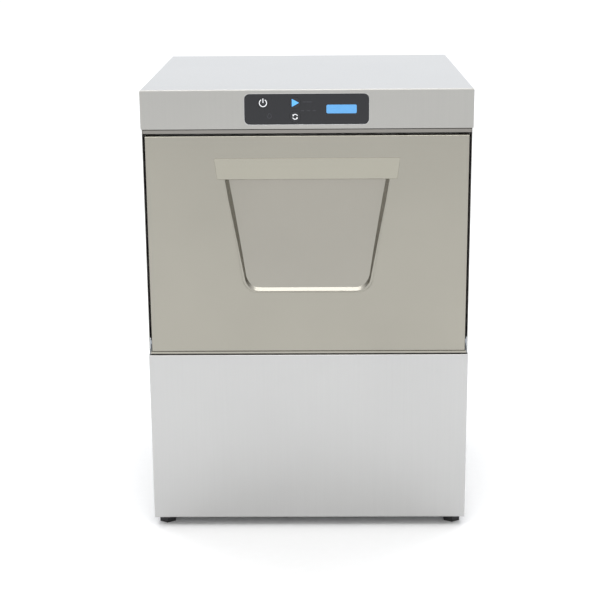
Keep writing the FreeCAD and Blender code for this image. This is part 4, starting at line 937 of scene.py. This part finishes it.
@dataclass
class OverlayRim:
    """Rounded edge of the apron's opening round the overlay, in brighter steel than the apron as a painted
    highlight on its bend.

    Attributes:
        middle: Height of the overlay's centre.
        half: Half width and half height of the opening.
        corner: Radius of its corners.
        width: Width of the edge.
        front: The apron's face.
        deep: How far the edge reaches behind that face.
    """

    middle: float = 0.776
    half: Flat = (0.10705, 0.0262)
    corner: float = 0.0088
    width: float = 0.0008
    front: float = -0.2935
    deep: float = 0.0003

    def loop(self, grow: float, steps: int = 8) -> list[Flat]:
        """Draw the opening's rounded outline, grown by a margin.

        Args:
            grow: The margin, in metres.
            steps: Runs along each corner.

        Returns:
            The outline's points in order.
        """
        points = []
        radius = self.corner + grow
        for turn, (sx, sz) in enumerate(((1, 1), (-1, 1), (-1, -1), (1, -1))):
            cx, cz = sx * (self.half[0] - self.corner), self.middle + sz * (self.half[1] - self.corner)
            for i in range(steps + 1):
                angle = math.radians(90 * turn + 90 * i / steps)
                points.append((cx + radius * math.cos(angle), cz + radius * math.sin(angle)))
        return points

    def build(self, palette: Palette) -> None:
        """Make the edge.

        Args:
            palette: The built materials.
        """
        shape = bmesh.new()
        crown = [(0.0, 0.0), (self.width * 0.35, -0.00022), (self.width, -0.00004)]
        section = [*crown, (self.width, self.deep), (0.0, self.deep)]
        rings = []
        for grow, rise in section:
            rings.append([shape.verts.new((x, self.front + rise, z)) for x, z in self.loop(grow)])
        for a in range(len(rings)):
            join_rings(shape, rings[a], rings[(a + 1) % len(rings)])
        # The brighter drawn stainless, in place of the apron's satin steel, is a painted highlight along the
        # edge's rounded crown.
        piece = solid_piece("overlay_opening_edge", shape, palette.slots["chamber_steel"], 40)
        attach(piece, "cabinet")
        LOG.info("made overlay_opening_edge")


@dataclass
class PocketBead:
    """Raised bead round the sides and foot of the finger pocket.

    Attributes:
        top: Half width and height at the top, under the grip strip.
        foot: Half width and height at the foot.
        corner: Radius of the lower corners.
        face: The door's face.
        wide: Half width of the bead.
        proud: How far it stands out.
        corner_steps: Runs along a lower corner.
        crown_steps: Runs across the bead.
    """

    top: Flat = (0.1445, 0.6550)
    foot: Flat = (0.1125, 0.4507)
    corner: float = 0.0270
    face: float = -0.2935
    wide: float = 0.0010
    proud: float = 0.0005
    corner_steps: int = 12
    crown_steps: int = 6

    def path(self) -> list[Flat]:
        """Draw the bead's centre line.

        Returns:
            Its points, from the upper left to the upper right.
        """
        lean = math.atan2(self.top[0] - self.foot[0], self.top[1] - self.foot[1])
        turn = math.pi / 2 - lean
        reach = self.corner * math.tan(turn / 2)
        cx, cz = self.foot[0] - reach, self.foot[1] + self.corner
        side = [(self.top[0], self.top[1])]
        for i in range(self.corner_steps + 1):
            angle = -lean - turn * i / self.corner_steps
            side.append((cx + self.corner * math.cos(angle), cz + self.corner * math.sin(angle)))
        return [(-x, z) for x, z in side] + [(x, z) for x, z in reversed(side)]

    def build(self, palette: Palette) -> None:
        """Sweep the bead along its path.

        Args:
            palette: The built materials.
        """
        line = self.path()
        shape = bmesh.new()
        rings = []
        for i, (x, z) in enumerate(line):
            before, after = line[max(i - 1, 0)], line[min(i + 1, len(line) - 1)]
            way = Vector((after[0] - before[0], after[1] - before[1])).normalized()
            across = Vector((way.y, -way.x))
            ring = []
            for step in range(self.crown_steps + 1):
                angle = math.pi * step / self.crown_steps
                shift = across * (self.wide * math.cos(angle))
                depth = self.face - self.proud * math.sin(angle)
                ring.append(shape.verts.new((x + shift.x, depth, z + shift.y)))
            rings.append(ring)
        for near, far in zip(rings, rings[1:]):
            join_rings(shape, near, far)
        shape.faces.new(rings[0])
        shape.faces.new(list(reversed(rings[-1])))
        piece = solid_piece("pocket_bead", shape, palette.slots["door_steel"], 60)
        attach(piece, "door")
        LOG.info("made pocket_bead")


@dataclass
class SillStrip:
    """Strip on the sill between the door and the lower panel.

    Attributes:
        half: Half of its length.
        face: Its front in depth.
        low: Its lower edge.
        high: Its upper edge.
        deep: Its depth.
        bend: Radius of its rounded edges.
    """

    half: float = 0.2835
    face: float = -0.2915
    low: float = 0.3358
    high: float = 0.3402
    deep: float = 0.0030
    bend: float = 0.0008

    def build(self, palette: Palette) -> None:
        """Make the strip as one section with rounded corners.

        Args:
            palette: The built materials.
        """
        outline = []
        back = self.face + self.deep
        corners = (
            (self.face, self.low, 1, 1, 180),
            (back, self.low, -1, 1, 270),
            (back, self.high, -1, -1, 0),
            (self.face, self.high, 1, -1, 90),
        )
        for y, z, to_y, to_z, first in corners:
            for i in range(5):
                angle = math.radians(first + 22.5 * i)
                cy, cz = y + to_y * self.bend, z + to_z * self.bend
                outline.append((cy + self.bend * math.cos(angle), cz + self.bend * math.sin(angle)))
        shape = bmesh.new()
        left = [shape.verts.new((-self.half, y, z)) for y, z in outline]
        right = [shape.verts.new((self.half, y, z)) for y, z in outline]
        shape.faces.new(left)
        shape.faces.new(list(reversed(right)))
        for i in range(len(outline)):
            j = (i + 1) % len(outline)
            shape.faces.new((left[j], left[i], right[i], right[j]))
        piece = solid_piece("sill_strip", shape, palette.slots["door_steel"], 40)
        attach(piece, "cabinet")
        LOG.info("made sill_strip")


@dataclass
class CounterSprings:
    """Wound compression springs on both tie rods.

    Attributes:
        rod_x: Distance of each rod from the middle.
        eye: Rod pin's place as y and z.
        lean_deg: Lean of the rod from vertical.
        start: Distance from the pin to the spring's upper end.
        length: Length of the spring with the door shut.
        coil_r: Radius of the wire's middle line.
        wire_r: Radius of the wire.
        turns: Number of turns.
        keep: Share of its length that is left with the door open.
        steps: Points along each turn of the wire.
        sides: Faces round the wire.
    """

    rod_x: float = 0.2717
    eye: Flat = (-0.275596, 0.322017)
    lean_deg: float = 4.022
    start: float = 0.13003
    length: float = 0.09997
    coil_r: float = 0.00775
    wire_r: float = 0.00115
    # keep: Share of its length that is left with the door open; not used.
    turns: float = 15.0
    keep: float = 0.58
    steps: int = 360
    sides: int = 8

    def build(self, palette: Palette) -> None:
        """Wind both springs as one piece.

        Args:
            palette: The built materials.
        """
        lean = math.radians(self.lean_deg)
        down = Vector((0, math.sin(lean), -math.cos(lean)))
        turn = down.to_track_quat("Z", "Y").to_matrix().to_4x4()
        pattern = helix_pattern()
        values = {
            "Turns": self.turns,
            "Radius": self.coil_r,
            "Length": self.length - 2 * self.wire_r,
            "Wire": self.wire_r,
            "Steps": self.steps,
            "Sides": self.sides,
        }
        steel = palette.slots["spring_steel"]
        shape = bmesh.new()
        for side in (-1, 1):
            coil = pattern.run("coil", steel, values, [])
            top = Vector((side * self.rod_x, self.eye[0], self.eye[1])) + down * (self.start + self.wire_r)
            coil.data.transform(Matrix.Translation(top) @ turn)
            shape.from_mesh(coil.data)
            bpy.data.objects.remove(coil)
        piece = solid_piece("counter_spring_coils", shape, steel, 60)
        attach(piece, "tie_rods")
        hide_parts("counter_springs")
        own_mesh(piece)
        LOG.info("wound counter_spring_coils")


@dataclass
class RearFittings:
    """Screws, hose thread and gland ribs on the back.

    Attributes:
        back: The rear panel's outer face.
        screw_x: Distance of the screw rows from the middle.
        screw_z: Heights of the screws in a row.
        inlet: Axis of the water inlet as x and z.
        gland: Axis of the cable gland as x and z.
        head: Radius and height of the screw head's profile.
        row_x: Places of the screws between the two rows.
        thread_turns: Turns of the inlet's thread.
        thread_r: Radius of the thread's ridge.
        thread_l: Length of the thread.
        ridge_r: Half thickness of the ridge.
        thread_steps: Points along each turn of the thread.
        ridge_sides: Faces round the ridge.
        ribs_n: Number of ribs round the gland.
        rib_low: Lowest corner of the first rib, from the gland's axis.
        rib_high: Its highest corner.
    """

    back: float = 0.267
    screw_x: float = 0.263
    screw_z: tuple[float, ...] = (0.060, 0.200, 0.340, 0.480, 0.620, 0.760)
    inlet: Flat = (0.215, 0.080)
    gland: Flat = (-0.235, 0.080)
    head: tuple[Flat, ...] = (
        (0.0042, 0.0),
        (0.0042, 0.0005),
        (0.0038, 0.0012),
        (0.0028, 0.0018),
        (0.0014, 0.0021),
    )
    row_x: tuple[float, ...] = (-0.13, 0.0, 0.13)
    thread_turns: float = 8.0
    thread_r: float = 0.0131
    thread_l: float = 0.0165
    ridge_r: float = 0.00062
    thread_steps: int = 300
    ridge_sides: int = 6
    ribs_n: int = 16
    rib_low: Point = (0.0108, 0.0062, -0.0007)
    rib_high: Point = (0.0120, 0.0125, 0.0007)

    def screw_head(self) -> bpy.types.Object:
        """Make a plain domed head that faces +Z.

        Returns:
            The head, to be copied.
        """
        shape = bmesh.new()
        add_lathe(shape, list(self.head), Matrix.Identity(4), 20)
        return link_object("screw_head", plain_mesh("screw_head", shape))

    def build(self, palette: Palette) -> None:
        """Make the pieces on the back.

        Args:
            palette: The built materials.
        """
        scatter = scatter_pattern()
        head = self.screw_head()
        places = [(side * self.screw_x, self.back, z) for side in (-1, 1) for z in self.screw_z]
        places += [(x, self.back, self.screw_z[-1]) for x in self.row_x]
        places += [(x, self.back, self.screw_z[0]) for x in self.row_x[:2]]
        values = {"Shape": head, "Turn": Matrix.Rotation(math.radians(-90), 4, "X").to_euler()}
        screws = scatter.run("back_panel_screws", palette.slots["bare_steel"], values, places)
        bpy.data.objects.remove(head)
        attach(screws, "cabinet")
        LOG.info("set back_panel_screws")
        self.thread(palette)
        self.ribs(palette)

    def thread(self, palette: Palette) -> None:
        """Wind the ridge of the inlet's hose thread.

        Args:
            palette: The built materials.
        """
        pattern = helix_pattern()
        values = {
            "Turns": self.thread_turns,
            "Radius": self.thread_r,
            "Length": self.thread_l,
            "Wire": self.ridge_r,
            "Steps": self.thread_steps,
            "Sides": self.ridge_sides,
        }
        ridge = pattern.run("inlet_thread", palette.slots["brass_fitting"], values, [])
        place = Matrix.Translation((self.inlet[0], self.back + 0.0055, self.inlet[1]))
        ridge.data.transform(place @ Matrix.Rotation(math.radians(-90), 4, "X"))
        ridge.data.shade_smooth()
        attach(ridge, "cabinet")
        LOG.info("wound inlet_thread")

    def ribs(self, palette: Palette) -> None:
        """Set grip ribs round the gland's dome nut.

        Args:
            palette: The built materials.
        """
        shape = bmesh.new()
        x, z = self.gland
        low = (self.rib_low[0], self.back + self.rib_low[1], self.rib_low[2])
        high = (self.rib_high[0], self.back + self.rib_high[1], self.rib_high[2])
        for i in range(self.ribs_n):
            angle = 2 * math.pi * i / self.ribs_n
            turn = Matrix.Translation((x, 0, z)) @ Matrix.Rotation(-angle, 4, "Y")
            rib = bmesh.new()
            add_block(rib, low, high)
            bmesh.ops.transform(rib, matrix=turn, verts=rib.verts)
            shape.from_mesh(plain_mesh("rib", rib))
        piece = solid_piece("gland_grip_ribs", shape, palette.slots["black_plastic"])
        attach(piece, "cabinet")
        LOG.info("made gland_grip_ribs")


@dataclass
class HoseBands:
    """Worm-drive bands on the two pump hoses.

    Attributes:
        places: Centre of each band with its hose's radius; all stand upright.
        width: Width of a band.
        band_t: Thickness of a band.
        steps: Faces round a band.
        screw: Radius and place along the screw's profile.
    """

    places: tuple[tuple[Point, float], ...] = (
        ((-0.128, 0.020, 0.203), 0.025),
        ((-0.049, -0.036, 0.198), 0.018),
        ((-0.049, -0.036, 0.212), 0.018),
    )
    width: float = 0.009
    band_t: float = 0.0008
    steps: int = 40
    screw: tuple[Flat, ...] = (
        (0.0030, 0.0),
        (0.0034, 0.0006),
        (0.0034, 0.0040),
        (0.0024, 0.0041),
        (0.0024, 0.018),
    )

    def build(self, palette: Palette) -> None:
        """Make the bands as one piece.

        Args:
            palette: The built materials.
        """
        shape = bmesh.new()
        for centre, radius in self.places:
            low = -self.width / 2
            inner, outer = radius + 0.0001, radius + self.band_t
            section = ((inner, low), (outer, low + 0.0004), (outer, -low - 0.0004), (inner, -low))
            place = Matrix.Translation(centre)
            rings = [turned_ring(shape, reach, height, place, self.steps) for reach, height in section]
            for a in range(4):
                join_rings(shape, rings[a], rings[(a + 1) % 4])
            x, y, z = centre
            front = y - radius
            add_block(shape, (x - 0.006, front - 0.0065, z + low), (x + 0.006, front - 0.0004, z - low))
            along = Matrix.Rotation(math.radians(90), 4, "Y")
            barrel = Matrix.Translation((x - 0.010, front - 0.0036, z)) @ along
            add_lathe(shape, list(self.screw), barrel, 12)
        piece = solid_piece("hose_bands", shape, palette.slots["bare_steel"], 40)
        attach(piece, "cabinet")
        LOG.info("made hose_bands")


@dataclass
class FilterScreens:
    """Crossed wires in the slots of the flat filters, clear of the filter well.

    Attributes:
        level: Height of the wires.
        middle: The chamber's centre in depth.
        well: Centre of the filter well.
        well_r: Radius kept free round the well.
        wire: Thickness of a wire.
        pitch: Spacing that the wires are set from.
        half: Half length and half width of one screen.
        slot_x: Distance of the first slots from the middle.
        step_x: Spacing of the slots in width.
        step_y: Spacing of the slots in depth.
    """

    level: float = 0.3366
    middle: float = 0.00625
    well: Flat = (-0.128, 0.020)
    well_r: float = 0.0555
    wire: float = 0.0006
    pitch: float = 0.003
    half: Flat = (0.0065, 0.0215)
    slot_x: float = 0.046
    step_x: float = 0.026
    step_y: float = 0.054

    def screen(self) -> bpy.types.Object:
        """Make one slot's wires, centred on the origin.

        Returns:
            The screen, to be copied.
        """
        shape = bmesh.new()
        half_x, half_y = self.half
        thick = self.wire / 2
        for i in range(-2, 3):
            x = i * self.pitch * 0.9
            add_block(shape, (x - thick, -half_y, -thick), (x + thick, half_y, thick))
        for j in range(-7, 8):
            y = j * self.pitch * 0.95
            add_block(shape, (-half_x, y - thick, -thick), (half_x, y + thick, thick))
        return link_object("screen", plain_mesh("screen", shape))

    def build(self, palette: Palette) -> None:
        """Set a screen in each slot that the filter well leaves whole.

        Args:
            palette: The built materials.
        """
        places = []
        for side in (-1, 1):
            for i in range(6):
                for j in range(-3, 4):
                    if j == 0 and i > 3:
                        continue
                    x = side * (self.slot_x + i * self.step_x)
                    spot = (x, self.middle + j * self.step_y, self.level)
                    gap = math.hypot(spot[0] - self.well[0], spot[1] - self.well[1])
                    if gap > self.well_r + 0.0235:
                        places.append(spot)
        shape = self.screen()
        flat = Matrix.Identity(3).to_euler()
        values = {"Shape": shape, "Turn": flat}
        piece = scatter_pattern().run("filter_screens", palette.slots["filter_steel"], values, places)
        bpy.data.objects.remove(shape)
        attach(piece, "cabinet")
        LOG.info("set filter_screens in %d slots", len(places))


# ---------------------------------------------------------------------------
# Studio
# ---------------------------------------------------------------------------


@dataclass
class Studio:
    """Pale floor, soft light and the camera.

    Attributes:
        eye: The camera's place.
        pitch: Downward tilt of the camera, in radians.
        yaw: Turn to the left, in radians.
        roll: Lean of the camera, in radians.
        lens: Focal length on a 36 mm wide sensor.
        front_sky: Light of the surround from the front.
        back_sky: Light of the surround from behind.
        side_sky: Light of the surround from both sides.
        box: Width and height of both soft boxes.
    """

    eye: Point = (0.0217, -2.7769, 1.1107)
    pitch: float = 0.26522
    yaw: float = 0.01443
    roll: float = -0.00813
    lens: float = 86.72
    front_sky: tuple[float, ...] = (0.95, 0.95, 0.95, 1.0)
    back_sky: tuple[float, ...] = (1.36, 1.40, 1.48, 1.0)
    side_sky: tuple[float, ...] = (0.42, 0.42, 0.42, 1.0)
    box: Flat = (6.4, 0.9)

    def camera(self) -> None:
        """Make the camera."""
        data = bpy.data.cameras.new("camera")
        data.lens = self.lens
        data.sensor_width = 36.0
        camera = bpy.data.objects.new("camera", data)
        turn = Matrix.Rotation(self.yaw, 4, "Z") @ Matrix.Rotation(math.pi / 2 - self.pitch, 4, "X")
        camera.matrix_world = Matrix.Translation(self.eye) @ turn @ Matrix.Rotation(self.roll, 4, "Z")
        bpy.context.scene.collection.objects.link(camera)
        bpy.context.scene.camera = camera

    def floor(self) -> None:
        """Make a wide pale floor."""
        shape = bmesh.new()
        bmesh.ops.create_grid(shape, x_segments=1, y_segments=1, size=60.0)
        mesh = plain_mesh("floor", shape)
        material, tree, shader = new_material("matt_white_paper")
        place = add_node(tree, "ShaderNodeTexCoord").outputs["Object"]
        fibre = add_node(tree, "ShaderNodeTexNoise", {"Vector": place, "Scale": 60.0, "Detail": 2.0})
        tone = add_node(
            tree,
            "ShaderNodeMix",
            {0: fibre.outputs["Fac"], 6: linear("FAFAFA"), 7: linear("FDFDFD")},
            data_type="RGBA",
        )
        tree.links.new(tone.outputs[2], shader.inputs["Base Color"])
        shader.inputs["Roughness"].default_value = 0.9
        shader.inputs["Specular IOR Level"].default_value = 0.0
        mesh.materials.append(material)
        link_object("floor", mesh)

    def light(self, name: str, place: Point, aim: Point, size: Flat, power: float) -> None:
        """Add one long soft box.

        Args:
            name: The light's name.
            place: Its centre, in metres.
            aim: The point that it faces.
            size: Its width and height, in metres.
            power: Its power in watts.
        """
        data = bpy.data.lights.new(name, "AREA")
        data.shape = "RECTANGLE"
        data.size, data.size_y = size
        data.energy = power
        lamp = bpy.data.objects.new(name, data)
        facing = (Vector(aim) - Vector(place)).to_track_quat("-Z", "Y")
        lamp.matrix_world = Matrix.Translation(place) @ facing.to_matrix().to_4x4()
        bpy.context.scene.collection.objects.link(lamp)

    def sun(self, name: str, place: Point, spread_deg: float, strength: float) -> None:
        """Add wide, even light from one side.

        Args:
            name: The light's name.
            place: The side that it comes from.
            spread_deg: Angle that it fills.
            strength: Its strength.
        """
        data = bpy.data.lights.new(name, "SUN")
        data.angle = math.radians(spread_deg)
        data.energy = strength
        lamp = bpy.data.objects.new(name, data)
        lamp.matrix_world = (-Vector(place)).to_track_quat("-Z", "Y").to_matrix().to_4x4()
        bpy.context.scene.collection.objects.link(lamp)

    def world(self) -> None:
        """Make the surround: bright behind, dimmer to both sides."""
        world = bpy.data.worlds.new("studio")
        world.use_nodes = True
        tree = world.node_tree
        tree.nodes.clear()
        way = add_node(tree, "ShaderNodeTexCoord").outputs["Generated"]
        axes = add_node(tree, "ShaderNodeSeparateXYZ", {0: way})
        side = add_node(tree, "ShaderNodeMath", {0: axes.outputs[0]}, operation="ABSOLUTE")
        flank = add_node(tree, "ShaderNodeMapRange", {0: side.outputs[0], 1: 0.45, 2: 0.95, 3: 0.0, 4: 1.0})
        rear = add_node(tree, "ShaderNodeMapRange", {0: axes.outputs[1], 1: -0.2, 2: 0.7, 3: 0.0, 4: 1.0})
        front, back = self.front_sky, self.back_sky
        depth = add_node(
            tree, "ShaderNodeMix", {0: rear.outputs[0], 6: front, 7: back}, data_type="RGBA"
        )
        room = add_node(
            tree,
            "ShaderNodeMix",
            {0: flank.outputs[0], 6: depth.outputs[2], 7: self.side_sky},
            data_type="RGBA",
        )
        glow = add_node(tree, "ShaderNodeBackground", {"Color": room.outputs[2], "Strength": 1.0})
        add_node(tree, "ShaderNodeOutputWorld", {"Surface": glow.outputs[0]})
        bpy.context.scene.world = world

    def build(self) -> None:
        """Set up the whole studio."""
        self.camera()
        self.floor()
        self.world()
        self.sun("soft_sun", (0.0, -2.4, 3.2), 100.0, 0.60)
        self.light("front_box", (0.0, -3.6, 6.9), (0.0, 0.0, 0.5), self.box, 95.0)
        self.light("rear_box", (0.0, 1.8, 6.4), (0.0, -0.3, 0.5), self.box, 120.0)
        view = bpy.context.scene.view_settings
        view.view_transform = "Standard"
        view.look = "None"
        LOG.info("set up the studio")


def main() -> None:
    """Dress the frame and build every added piece in order."""
    logging.basicConfig(level=logging.INFO, format="%(name)s: %(message)s")
    palette = Palette()
    palette.dress_frame()
    parts = [
        ControlMarks(),
        OverlayRim(),
        PocketBead(),
        SillStrip(),
        CounterSprings(),
        RearFittings(),
        HoseBands(),
        FilterScreens(),
    ]
    for part in parts:
        part.build(palette)
    Studio().build()


if __name__ == "__main__":
    main()
